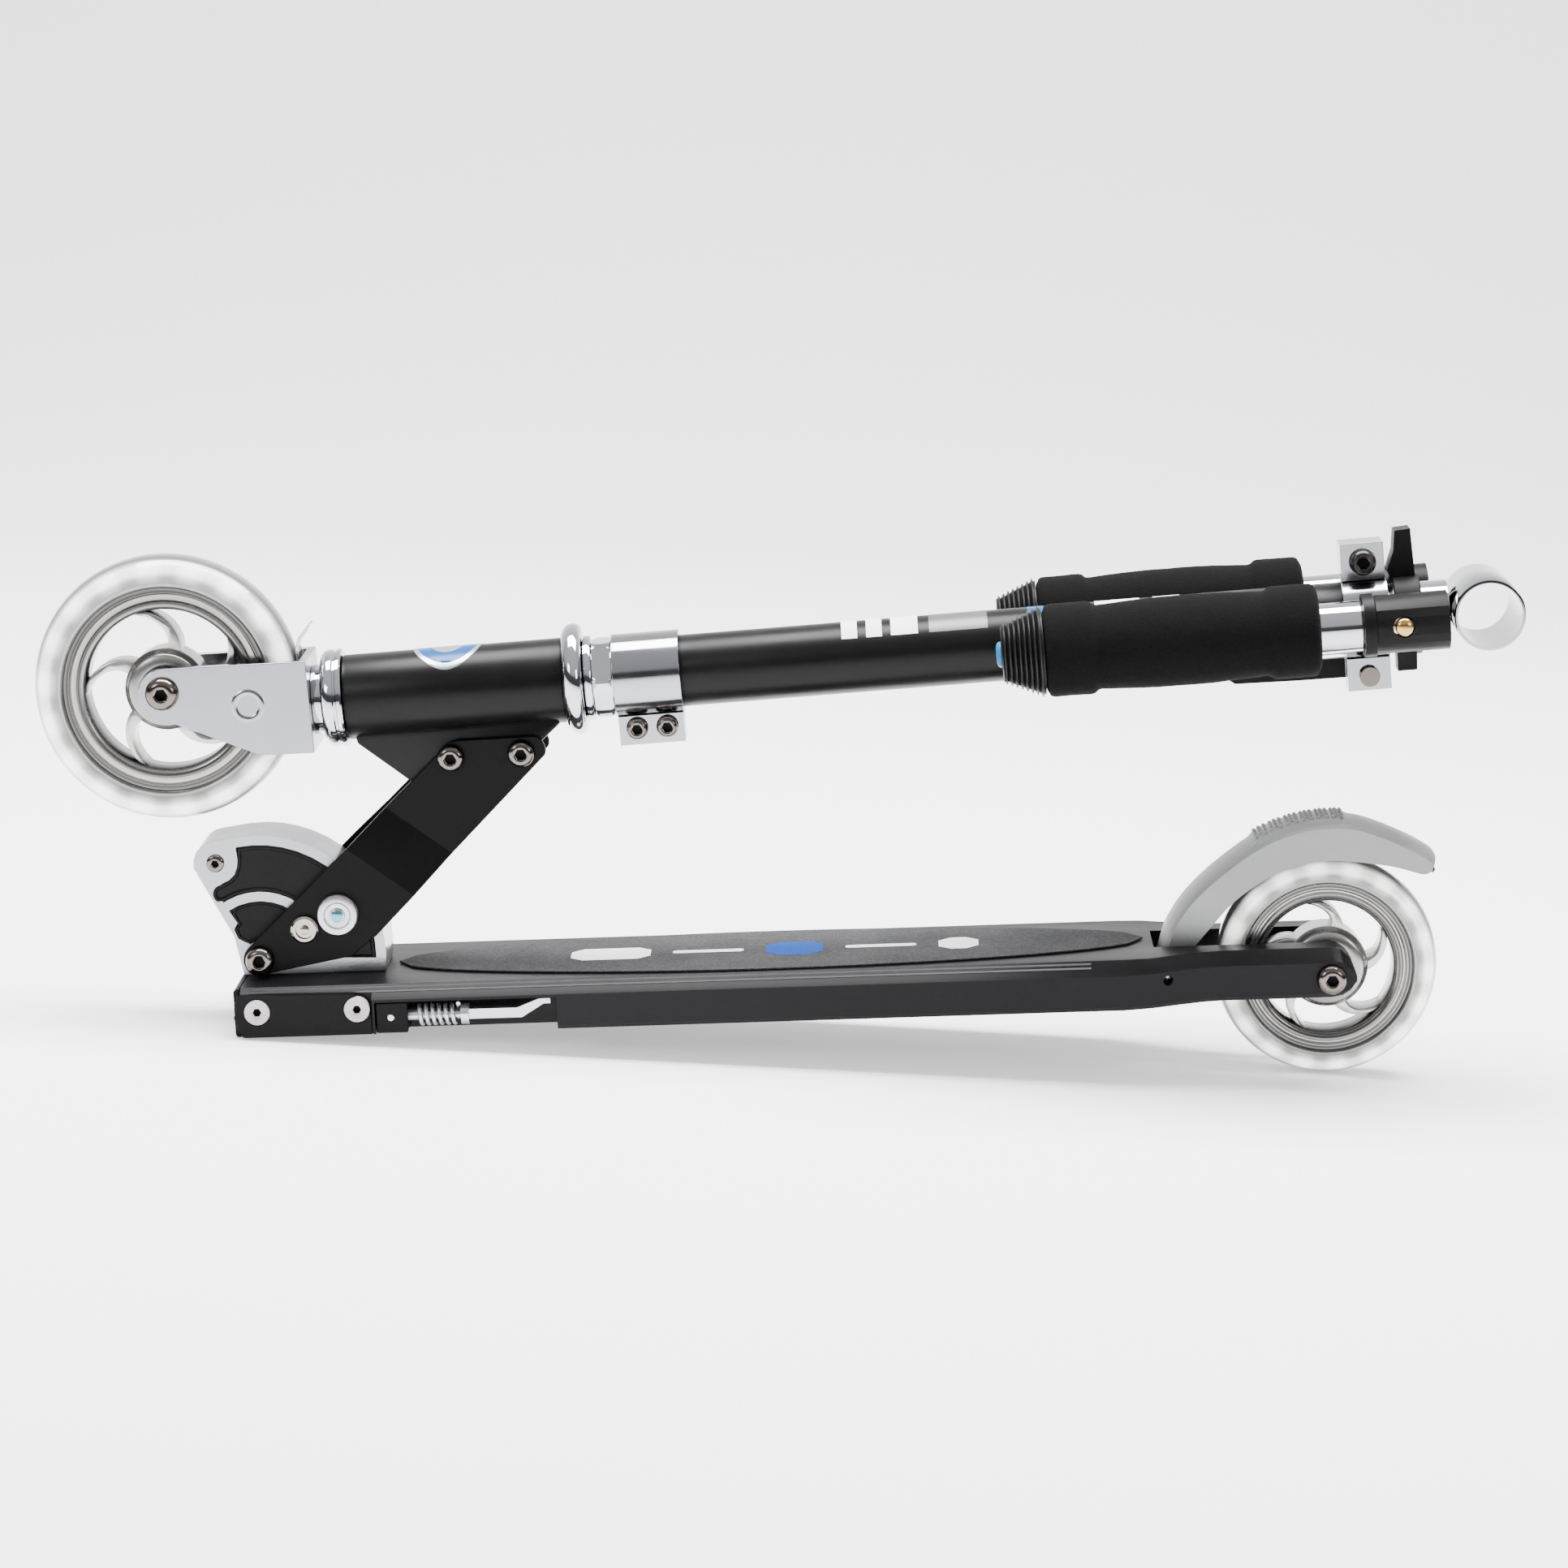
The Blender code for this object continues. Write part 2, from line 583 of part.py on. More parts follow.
def make_wheel(word, radius, spacer, parent):
    """Clear tyre, five-spoke core and the bearing cartridge, whose spacers reach the fork or the stays."""
    rim_outer = 0.76 * radius
    rim_inner = 0.60 * radius
    half = WHEEL_HALF_WIDTH
    shoulder = radius - 8.5
    tyre = [(-half + 2.0, rim_outer + GAP), (-half, rim_outer + 2.5), (-half, shoulder)]
    for turn in (42, 14, -14, -42):
        angle = math.radians(turn)
        tyre.append((-half * math.sin(angle), shoulder + 8.5 * math.cos(angle)))
    tyre += [(half, shoulder), (half, rim_outer + 2.5), (half - 2.0, rim_outer + GAP)]
    solid(f"{word}_tyre", turned(tyre, 32, "Y"), parent, "clear_tyre")
    rim = turned(flat_ring(half - 2.0, rim_inner, rim_outer), 32, "Y")
    core = solid(f"{word}_wheel_core", rim, parent, "wheel_core")
    hub = turned(flat_ring(half, BEARING_RADIUS + GAP, HUB_RADIUS), 20, "Y")
    join(core, hub)
    for number in range(5):
        join(core, swirl_spoke(math.tau * number / 5, HUB_RADIUS - 2, rim_inner + 2))
    reach = spacer - GAP
    bearing = [(-reach, AXLE_RADIUS + GAP), (-reach, 7.0), (-half + 0.6, 7.0), (-half + 0.6, BEARING_RADIUS)]
    bearing += [(half - 0.6, BEARING_RADIUS), (half - 0.6, 7.0), (reach, 7.0), (reach, AXLE_RADIUS + GAP)]
    solid(f"{word}_bearing", turned(bearing, 14, "Y"), parent, "zinc")


def swirl_spoke(start, inner, outer):
    """A curved spoke: its middle line turns 35 degrees on the way out."""
    edge, other = [], []
    for i in range(4):
        t = i / 3
        radius = inner + (outer - inner) * t
        turn = start + math.radians(35) * t * t
        half = 3.4 - 0.8 * t
        spread = half / radius
        edge.append((radius * math.cos(turn - spread), radius * math.sin(turn - spread)))
        other.append((radius * math.cos(turn + spread), radius * math.sin(turn + spread)))
    return prism(edge + list(reversed(other)), -7.5, 7.5)


# ---- brake and kickstand -------------------------------------------------------------------------------------


def make_brake(frame):
    """The cast rear fender that presses on the tyre, on its pin through the stays."""
    brake = axis_empty("brake_axis", frame, (BRAKE_PIN[0], 0, BRAKE_PIN[1]))
    outer = [(-1.0, 8.5), (2.5, 19.5), (15.5, 36.0), (38.0, 54.5), (56.0, 62.5), (75.0, 66.6)]
    outer += [(90.0, 65.0), (111.0, 55.5), (125.3, 45.6), (118.5, 37.5)]
    inner = [(98.0, 45.5), (81.5, 48.6), (66.0, 46.0), (47.0, 39.0), (30.0, 28.5), (20.0, 17.5), (11.5, 8.5)]
    foot = [(6.5, -3.0), (3.0, -6.5), (-3.0, -5.5), (-4.5, 0.0)]
    arch = solid("brake_fender", prism(outer + inner + foot, -15.8, 15.8), brake, "silver_fender")
    axle = (REAR_AXLE[0] - BRAKE_PIN[0], REAR_AXLE[1] - BRAKE_PIN[1])
    cut(arch, turned(rod_profile(-13.4, 13.4, 54.0), 48, "Y", (axle[0], 0, axle[1])))
    cut(arch, drill(0, 0, 2.6, segments=12))
    solid(
        "brake_pin",
        turned([(-34.6, 0), (-34.6, 2), (34.6, 2), (34.6, 0)], 12, "Y"),
        frame,
        "zinc",
        (BRAKE_PIN[0], 0, BRAKE_PIN[1]),
    )
    return brake


def coil(length, turns, radius, wire):
    """A closed helical spring along X."""
    bm = bmesh.new()
    sides, steps = 4, 8 * turns
    rings = []
    for i in range(steps + 1):
        t = i / steps
        turn = math.tau * turns * t
        outward = Vector((0, math.cos(turn), math.sin(turn)))
        centre = outward * radius + Vector((length * t, 0, 0))
        ring = []
        for k in range(sides):
            a = math.tau * k / sides
            ring.append(bm.verts.new(centre + outward * wire * math.cos(a) + Vector((wire * math.sin(a), 0, 0))))
        rings.append(ring)
    for first, second in zip(rings, rings[1:]):
        for k in range(sides):
            j = (k + 1) % sides
            bm.faces.new((first[k], first[j], second[j], second[k]))
    bm.faces.new(rings[0])
    bm.faces.new(list(reversed(rings[-1])))
    return bm


def make_kickstand(frame):
    """The sprung side stand in its pocket: a fixed pivot block, and a leg that swings down behind it."""
    x, z = STAND_PIVOT
    mount = solid(
        "kickstand_block",
        block((53.4, -46.2, DECK_BOTTOM + 0.6), (67.5, -33.4, DECK_EDGE_TOP - 2.6), 0.5),
        frame,
        "black_plastic",
    )
    cut(mount, block((56.0, STAND_Y - 3.0, DECK_BOTTOM - 5), (70, STAND_Y + 3.0, DECK_EDGE_TOP + 2)))
    hinge = axis_empty("kickstand_axis", frame, (x, STAND_Y, z))
    cut(mount, drill(x, z, 1.8, segments=12))
    leg = solid("kickstand_leg", turned(rod_profile(1.0, 34.0, 2.6), 12), hinge, "zinc")
    join(leg, turned(rod_profile(-2.6, 2.6, 3.4), 16, "Y"))
    join(leg, turned(rod_profile(-5.5, 5.5, 1.5), 12, "Y"))
    join(leg, turned(rod_profile(31.0, 34.6, 5.0), 16))
    crank = [(34.0, -2.4), (58.0, -2.4), (68.0, 3.6), (71.0, 3.6), (71.0, 6.0), (66.0, 6.0), (56.0, 2.2), (34.0, 2.2)]
    join(leg, prism(crank, -2.2, 2.2))
    spring = coil(18.0, 5, 4.3, 1.0)
    solid("kickstand_spring", spring, hinge, "zinc", (12.0, 0, 0))


# ---- inner column and handles --------------------------------------------------------------------------------


def make_inner_column(slide):
    """The sliding inner tube, the T-tube for the handles and the holder that stows them."""
    inner = ring_profile(INNER_START, T_CENTRE - T_RADIUS - GAP, 11.6, INNER_RADIUS, 0.4)
    solid("inner_tube", turned(inner, 24), slide, "chrome")
    t_profile = ring_profile(-T_HALF_LENGTH, T_HALF_LENGTH, T_RADIUS - 1.5, T_RADIUS, 0.4)
    solid("t_tube", turned(t_profile, 32, "Y"), slide, "chrome", (T_CENTRE, 0, 0))


def make_holder(slide):
    """The black clip body: a sleeve on the inner tube, a thumb wing and a socket at each side."""
    low, high = HOLDER - 3.0, HOLDER + 9.0
    holder = solid("handle_holder", turned(ring_profile(low, high, 14.0, 18.4, 0.6), 24), slide, "black_plastic")
    thumb = [(low + 0.5, 15), (low - 1.6, 21), (low + 1.5, 29), (low + 2.5, 38), (low + 9.5, 38.5), (low + 10.5, 15)]
    foot = [(low + 0.7, -15), (low + 0.5, -24.8), (low + 9.0, -24.8), (low + 9.5, -15)]
    join(holder, prism(thumb, -6.0, 6.0))
    join(holder, prism(foot, -6.0, 6.0))
    for side in (-1, 1):
        near, far = sorted((side * 15.0, side * (HANDLE_Y - 11.9)))
        join(holder, block((low + 0.4, near, -5.0), (high - 0.6, far, 2.0)))
        centre = (0, side * HANDLE_Y, HANDLE_DROP)
        socket = [(HOLDER - 20, SOCKET_RADIUS), (HOLDER - 20, 14.0), (HOLDER - 15, 14.0), (HOLDER - 14.5, 13.0)]
        socket += [(HOLDER + 17, 13.0), (HOLDER + 17, SOCKET_RADIUS)]
        join(holder, turned(socket, 20, "X", centre))
    for side in (-1, 1):
        near, far = sorted((side * (HANDLE_Y + 6), side * (HANDLE_Y + 20)))
        cut(holder, drill(BUTTON, HANDLE_DROP, 4.9, near, far, 16))


def make_handle(side, word, slide):
    """One detachable handle: bar, snap button, foam grip, ribbed end cap and blue plug."""
    place = (BAR_END, side * HANDLE_Y, HANDLE_DROP)
    handle = axis_empty(f"handle_{word}_axis", slide, place)
    start, stop = GRIP_START - BAR_END, GRIP_END - BAR_END
    bar = solid(
        f"handle_bar_{word}",
        turned(ring_profile(start - 14, 0, 9.3, BAR_RADIUS, 0.4), 20),
        handle,
        "chrome",
    )
    hole = drill(BUTTON - BAR_END, 0, 4.4, *sorted((side * 5, side * 20)), 16)
    cut(bar, hole)
    foam = [(start, BAR_RADIUS + GAP), (start, 17.5), (start + 3.5, 20.5), (start + 22, 20.5), (start + 26, 19.0)]
    foam += [(start + 60, 20.0), (stop - 26, 18.8), (stop - 22, 20.3), (stop - 3.5, 20.3), (stop, 17.5)]
    foam += [(stop, BAR_RADIUS + GAP)]
    solid(f"foam_grip_{word}", turned(foam, 20), handle, "grip_foam")
    cap = [(start - 18.6, 0), (start - 18.6, 13.2), (start - GAP, 21.0), (start - GAP, BAR_RADIUS + GAP)]
    cap += [(start - 14.4, BAR_RADIUS + GAP), (start - 14.4, 0)]
    solid(f"grip_cap_{word}", turned(cap, 20), handle, "rubber")
    plug = [(start - 21.2, 0), (start - 20.6, 5.0), (start - 18.9, 5.8), (start - 18.9, 0)]
    solid(f"end_plug_{word}", turned(plug, 14), handle, "blue_plastic")
    press = axis_empty(f"button_{word}_axis", handle, (BUTTON - BAR_END, 0, 0))
    dome = [(5.2, 0), (5.2, 5.0), (6.2, 5.0), (6.2, 4.0), (13.4, 4.0), (14.8, 2.6), (15.2, 0)]
    button = turned([(side * along, radius) for along, radius in dome], 12, "Y")
    solid(f"snap_button_{word}", button, press, "brass")


# ---- assembly ------------------------------------------------------------------------------------------------


def stand_up(frame):
    """Sets the row's origin: the middle of the bottom of the whole scooter."""
    bpy.context.view_layer.update()
    graph = bpy.context.evaluated_depsgraph_get()
    low = Vector((1e9, 1e9, 1e9))
    high = -low
    for thing in bpy.data.objects:
        if thing.type != "MESH" or thing.hide_render:
            continue
        seen = thing.evaluated_get(graph)
        for vert in seen.data.vertices:
            place = seen.matrix_world @ vert.co
            low = Vector(map(min, low, place))
            high = Vector(map(max, high, place))
    frame.location = (-(low.x + high.x) / 2, 0.0, -low.z)


def main():
    clear_scene()
    frame = axis_empty("deck_frame", None, (0, 0, 0), DECK_PITCH)
    make_deck(frame)
    make_grip_tape(frame)
    make_front_end(frame)
    make_fold_block(frame)
    make_kickstand(frame)
    make_brake(frame)
    rear = axis_empty("rear_wheel_axis", frame, (REAR_AXLE[0], 0, REAR_AXLE[1]))
    make_wheel("rear", REAR_RADIUS, WELL_HALF_WIDTH, rear)
    axle = turned(bolt_profile(STAY_HALF_WIDTH + GAP, AXLE_RADIUS, 6.75, 4.0), 14, "Y")
    solid("rear_axle_bolt", axle, frame, "bolt_steel", (REAR_AXLE[0], 0, REAR_AXLE[1]))

    fold = axis_empty("fold_axis", frame)
    column = axis_empty("column_frame", fold, (COLUMN_FOOT[0], 0, COLUMN_FOOT[1]), COLUMN_SLOPE)
    bpy.context.view_layer.update()
    make_arms(fold)
    make_lock_knobs(fold)
    make_head(fold, column)

    steer = axis_empty("steer_axis", column)
    make_fork(steer)
    make_column(steer)
    make_quick_lever(steer)
    front = axis_empty("front_wheel_axis", steer, (FRONT_AXLE[0], 0, FRONT_AXLE[1]))
    make_wheel("front", FRONT_RADIUS, FORK_INNER, front)

    slide = axis_empty("height_axis", steer)
    make_inner_column(slide)
    make_holder(slide)
    make_handle(-1, "left", slide)
    make_handle(1, "right", slide)
    stand_up(frame)


main()
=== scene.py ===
import json
import math

import bmesh
import bpy
from mathutils import Matrix, Vector, noise


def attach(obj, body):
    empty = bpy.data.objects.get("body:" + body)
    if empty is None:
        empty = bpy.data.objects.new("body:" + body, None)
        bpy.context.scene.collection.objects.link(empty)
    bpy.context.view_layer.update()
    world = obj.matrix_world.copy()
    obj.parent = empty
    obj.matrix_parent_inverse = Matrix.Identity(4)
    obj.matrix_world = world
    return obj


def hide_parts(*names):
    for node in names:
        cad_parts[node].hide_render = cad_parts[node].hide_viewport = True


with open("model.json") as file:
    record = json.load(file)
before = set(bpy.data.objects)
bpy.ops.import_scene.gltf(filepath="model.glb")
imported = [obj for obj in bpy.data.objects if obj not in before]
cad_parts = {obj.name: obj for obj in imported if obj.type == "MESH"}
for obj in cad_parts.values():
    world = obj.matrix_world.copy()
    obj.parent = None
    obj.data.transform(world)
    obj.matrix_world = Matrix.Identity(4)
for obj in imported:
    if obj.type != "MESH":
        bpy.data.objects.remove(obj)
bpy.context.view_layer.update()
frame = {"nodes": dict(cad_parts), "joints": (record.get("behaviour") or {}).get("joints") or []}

# ---- Deck --------------------------------------------------------------------------------------------------
# The deck is a hollow aluminium extrusion with a flat top, sloping ribbed shoulders and square sides. It is
# sawn, milled out for the rear wheel and the side stand, then anodised black. Its sharp edges are broken.

MM = 0.001
DECK_PITCH = 4.93
GAP = 0.3
joints = {joint["name"]: joint for joint in frame["joints"]}
pivot = Vector(joints["fold"]["pos_m"])
steer_axis = Vector(joints["steer"]["axis"])
to_metres = Matrix.Scale(MM, 4)
deck_at = Matrix.Translation(pivot) @ Matrix.Rotation(-math.radians(DECK_PITCH), 4, "Y") @ to_metres
column_turn = Matrix.Rotation(-math.atan2(steer_axis.z, steer_axis.x), 4, "Y")
column_at = Matrix.Translation(Vector(joints["steer"]["pos_m"])) @ column_turn @ to_metres


def node_in(look, kind, place, **sockets):
    """Adds a shader node and sets the constants on its sockets."""
    made = look.node_tree.nodes.new(kind)
    made.location = place
    for name, value in sockets.items():
        made.inputs[name.replace("_", " ")].default_value = value
    return made


def wire(look, source, out, target, into):
    look.node_tree.links.new(source.outputs[out], target.inputs[into])


def surface(
    name, colour, rough, metal=0.0, grain=900.0, bump=0.04, shade=0.12, rough_by=0.08,
    stretch=(1, 1, 1), shine=0.5,
):
    """A finish with a fine grain: colour and roughness drift a little, and the grain stands up as bump."""
    look = bpy.data.materials.new(name)
    look.use_nodes = True
    shader = look.node_tree.nodes["Principled BSDF"]
    shader.inputs["Metallic"].default_value = metal
    shader.inputs["Specular IOR Level"].default_value = shine
    where = node_in(look, "ShaderNodeTexCoord", (-1100, 0))
    turn = node_in(look, "ShaderNodeMapping", (-900, 0))
    turn.inputs["Rotation"].default_value = (0, math.radians(DECK_PITCH), 0)
    turn.inputs["Scale"].default_value = stretch
    wire(look, where, "Object", turn, "Vector")
    fine = node_in(look, "ShaderNodeTexNoise", (-700, -200), Scale=grain, Detail=3.0, Roughness=0.6)
    broad = node_in(look, "ShaderNodeTexNoise", (-700, 150), Scale=26.0, Detail=4.0, Roughness=0.55)
    for texture in (fine, broad):
        wire(look, turn, "Vector", texture, "Vector")
    tint = node_in(look, "ShaderNodeMix", (-350, 200))
    tint.data_type = "RGBA"
    tint.inputs[6].default_value = (*[c * (1 - shade) for c in colour], 1)
    tint.inputs[7].default_value = (*[min(c * (1 + shade), 1.0) for c in colour], 1)
    wire(look, broad, "Fac", tint, "Factor")
    look.node_tree.links.new(tint.outputs[2], shader.inputs["Base Color"])
    spread = node_in(look, "ShaderNodeMapRange", (-350, -50))
    spread.inputs["From Min"].default_value = 0.3
    spread.inputs["From Max"].default_value = 0.7
    spread.inputs["To Min"].default_value = max(rough - rough_by, 0.02)
    spread.inputs["To Max"].default_value = min(rough + rough_by, 1.0)
    wire(look, broad, "Fac", spread, "Value")
    wire(look, spread, "Result", shader, "Roughness")
    raised = node_in(look, "ShaderNodeBump", (-350, -300), Strength=bump, Distance=0.0004)
    wire(look, fine, "Fac", raised, "Height")
    wire(look, raised, "Normal", shader, "Normal")
    return look


def place(name, bm, at, body, slot, look, stands_for=(), edge=0.0, smooth=35):
    """Puts a closed bmesh in its frame as a finished piece, riding on its body."""
    bmesh.ops.remove_doubles(bm, verts=bm.verts, dist=0.001)
    bmesh.ops.recalc_face_normals(bm, faces=bm.faces)
    bmesh.ops.transform(bm, matrix=at, verts=bm.verts)
    mesh = bpy.data.meshes.new(name)
    bm.to_mesh(mesh)
    bm.free()
    return finish_piece(name, mesh, body, look, stands_for, edge, smooth)


def finish_piece(name, mesh, body, look, stands_for, edge, smooth):
    mesh.shade_smooth()
    mesh.set_sharp_from_angle(angle=math.radians(smooth))
    piece = bpy.data.objects.new(name, mesh)
    bpy.context.scene.collection.objects.link(piece)
    mesh.materials.append(look)
    # Faces marked 1 are the insides of bolt sockets and take the painted shade.
    if any(face.material_index for face in mesh.polygons):
        mesh.materials.append(socket_painted_shade)
    if edge:
        bevel = piece.modifiers.new("broken_edges", "BEVEL")
        bevel.width = edge * MM
        bevel.segments = 2
        bevel.limit_method = "ANGLE"
        bevel.angle_limit = math.radians(32)
        bevel.harden_normals = True
    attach(piece, body)
    if stands_for:
        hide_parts(*stands_for)
    return piece


def dressed(node, body, look, edge=0.35):
    """A copy of a solid with its loose triangles merged, its flats made whole and its edges broken."""
    bm = bmesh.new()
    bm.from_mesh(frame["nodes"][node].data)
    bmesh.ops.remove_doubles(bm, verts=bm.verts, dist=0.000002)
    for face in bm.faces:
        face.material_index = 0
    flat = [e for e in bm.edges if len(e.link_faces) == 2 and e.calc_face_angle(0) < 0.004]
    bmesh.ops.dissolve_edges(bm, edges=flat, use_verts=False)
    mesh = bpy.data.meshes.new(f"{node}_finished")
    bm.to_mesh(mesh)
    bm.free()
    return finish_piece(f"{node}_finished", mesh, body, look, (node,), edge, 28)


anodised = surface(
    "deck_black_anodised", (0.0045, 0.0039, 0.0048), 0.40, 0.0, 1400, 0.05, 0.10, 0.06,
    (0.12, 1, 1), shine=0.11,
)
dressed("deck", "deck_body", anodised, 0.5)
# The shoulder ribs are coloured a lighter metallic grey than the anodised deck: a painted highlight along
# each rib.
rib_painted_highlight = surface("deck_rib_painted_highlight", (0.07, 0.07, 0.075), 0.35, 0.8, 900, 0.03, 0.1, 0.06, shine=0.5)
DECK_TOP = -8.2
SHOULDER = 40.0
SHOULDER_DROP = 4.8 / 7.0
BEAD_START = -3.0
BEAD_END = 371.0
BEAD_HALF = 0.35


def slab(outline, low, high):
    """An outline in X and Y, extruded upwards."""
    bm = bmesh.new()
    face = bm.faces.new([bm.verts.new((x, y, low)) for x, y in outline])
    grown = bmesh.ops.extrude_face_region(bm, geom=[face])["geom"]
    moved = [v for v in grown if isinstance(v, bmesh.types.BMVert)]
    bmesh.ops.translate(bm, vec=(0, 0, high - low), verts=moved)
    return bm


for number, out in enumerate((-43.4, -41.4, 41.4, 43.4), 1):
    height = DECK_TOP - (abs(out) - SHOULDER) * SHOULDER_DROP
    near, far = out - BEAD_HALF, out + BEAD_HALF
    strip = [(BEAD_START, near), (BEAD_END, near), (BEAD_END, far), (BEAD_START, far)]
    bead = slab(strip, height - 0.5, height + 0.3)
    place(f"deck_bead_{number}", bead, deck_at, "deck_body", "black_anodised", rib_painted_highlight)

# ---- Grip sheet --------------------------------------------------------------------------------------------
# A leaf-shaped sheet of coarse charcoal grip, glued to the deck. Silicon-carbide grains are set in resin, so
# it is matt with bright facets painted as glints on random grains, and plain bars are printed along its
# middle.

TAPE_START = 60.0
TAPE_LENGTH = 336.0
TAPE_HALF = 37.5
TAPE_STEPS = 48

grit = surface("grip_sheet_grit", (0.009, 0.009, 0.010), 0.85, 0.0, 900, 0.9, 0.25, 0.1)
grit_shader = grit.node_tree.nodes["Principled BSDF"]
# Painted glint: a lighter base colour on random grains stands for the light their facets catch.
grains = node_in(grit, "ShaderNodeTexVoronoi", (-700, 500), Scale=1500.0)
wire(grit, grit.node_tree.nodes["Mapping"], "Vector", grains, "Vector")
glint_spots = node_in(grit, "ShaderNodeMapRange", (-450, 500))
glint_spots.inputs["From Min"].default_value = 0.55
glint_spots.inputs["From Max"].default_value = 0.95
glint_spots.inputs["To Max"].default_value = 0.75
grain_value = node_in(grit, "ShaderNodeSeparateColor", (-600, 650))
wire(grit, grains, "Color", grain_value, "Color")
wire(grit, grain_value, "Red", glint_spots, "Value")
painted_glint = node_in(grit, "ShaderNodeMix", (-150, 400))
painted_glint.data_type = "RGBA"
painted_glint.inputs[7].default_value = (0.045, 0.045, 0.05, 1)
wire(grit, glint_spots, "Result", painted_glint, "Factor")
tint = next(n for n in grit.node_tree.nodes if n.type == "MIX" and n != painted_glint)
grit.node_tree.links.new(tint.outputs[2], painted_glint.inputs[6])
grit.node_tree.links.new(painted_glint.outputs[2], grit_shader.inputs["Base Color"])

leaf = []
for step in range(TAPE_STEPS + 1):
    along = step / TAPE_STEPS
    leaf.append((TAPE_START + TAPE_LENGTH * along, TAPE_HALF * math.sin(math.pi * along) ** 0.45))
leaf += [(x, -y) for x, y in reversed(leaf[1:-1])]
sheet = slab(leaf, DECK_TOP + GAP, DECK_TOP + 1.0)
place("grip_sheet", sheet, deck_at, "deck_body", "sandpaper", grit, ("grip_tape",), 0.15)

print_white = surface("printed_white", (0.80, 0.80, 0.80), 0.7, 0.0, 1500, 0.6, 0.05, 0.05)
print_blue = surface("printed_blue", (0.0, 0.045, 0.24), 0.7, 0.0, 1500, 0.6, 0.05, 0.05, shine=0.1)
for number, (start, length, half, ink) in enumerate(
    (
        (138, 36, 11.0, print_white),
        (184, 32, 2.6, print_white),
        (226, 26, 13.0, print_blue),
        (262, 32, 2.6, print_white),
        (304, 18, 11.0, print_white),
    ),
    1,
):
    cut_off = min(half * 0.5, 6.0)
    bar = [(start, -half + cut_off), (start + cut_off, -half), (start + length - cut_off, -half)]
    bar.append((start + length, -half + cut_off))
    bar += [(x, -y) for x, y in reversed(bar)]
    mark = slab(bar, DECK_TOP + 0.9, DECK_TOP + 1.08)
    place(f"sheet_bar_{number}", mark, deck_at, "deck_body", "sandpaper", ink)

# ---- Deck front --------------------------------------------------------------------------------------------
# A moulded cap closes the deck's mouth. A pressed steel plate on each side takes two flat-headed bolts with
# socket heads, turned bright, that run right across and clamp the folding block.

CAP_EDGE = 0.4
SIDE_BOLTS = ((0.7, "front"), (45.2, "rear"))
BOLT_HEIGHT = -18.0
ROUND = 64


def turned(profile, segments=ROUND, axis="X", centre=(0, 0, 0)):
    """A profile of (distance along the axis, radius) spun about X or Y."""
    bm = bmesh.new()
    ring = [bm.verts.new((along, 0.0, radius)) for along, radius in profile]
    edges = [bm.edges.new(pair) for pair in zip(ring, ring[1:])]
    if min(radius for _, radius in profile) > 0:
        edges.append(bm.edges.new((ring[-1], ring[0])))
    bmesh.ops.spin(
        bm, geom=ring + edges, cent=(0, 0, 0), axis=(1, 0, 0), angle=math.tau, steps=segments,
        use_merge=True,
    )
    bmesh.ops.remove_doubles(bm, verts=bm.verts, dist=0.001)
    if axis == "Y":
        bmesh.ops.rotate(bm, matrix=Matrix.Rotation(math.pi / 2, 3, "Z"), verts=bm.verts)
    bmesh.ops.translate(bm, vec=centre, verts=bm.verts)
    return bm


def hex_recess(bm, centre, radius):
    """Presses the round socket of a bolt into a hexagon."""
    for vert in bm.verts:
        x, z = vert.co.x - centre[0], vert.co.z - centre[1]
        reach = math.hypot(x, z)
        if 0.2 < reach < radius * 1.02:
            turn = math.atan2(z, x)
            flat = math.cos(math.pi / 6) / math.cos((turn % (math.pi / 3)) - math.pi / 6)
            vert.co.x = centre[0] + x * flat
            vert.co.z = centre[1] + z * flat


def socket_bolt(half, shank, head, height, centre, socket=0.36, flat=False):
    """A bolt across the scooter with a head at both ends, domed or flat, each with a hexagon socket."""
    hole = socket * head
    if flat:
        crown = [(half - 3.2, shank), (half - 3.2, head - 0.2), (half - 0.3, head), (half, head - 0.3)]
    else:
        crown = [(half, shank), (half, head - 0.3), (half + 0.3, head)]
        mouth = hole * 1.25
        for step in range(8):
            turn = math.pi / 2 * step / 7
            along = half + 0.5 + (height - 0.5) * math.sin(turn)
            crown.append((along, mouth + (head - mouth) * math.cos(turn)))
    top = crown[-1][0]
    end = [(top, hole * 1.12), (top - 0.25, hole), (top - 0.3, hole * 0.97), (top - 0.55 * head, hole * 0.97)]
    end.append((top - 0.6 * head, 0.0))
    right = crown + end
    left = [(-along, radius) for along, radius in reversed(right)]
    bm = turned(left + right, 48, "Y", (centre[0], 0, centre[1]))
    hex_recess(bm, centre, hole)
    # The faces inside the socket take the second material: a near-black painted shade in the recess.
    for face in bm.faces:
        spot = face.calc_center_median()
        if math.hypot(spot.x - centre[0], spot.z - centre[1]) < hole * 0.98 and abs(spot.y) < top - 0.1:
            face.material_index = 1
    return bm


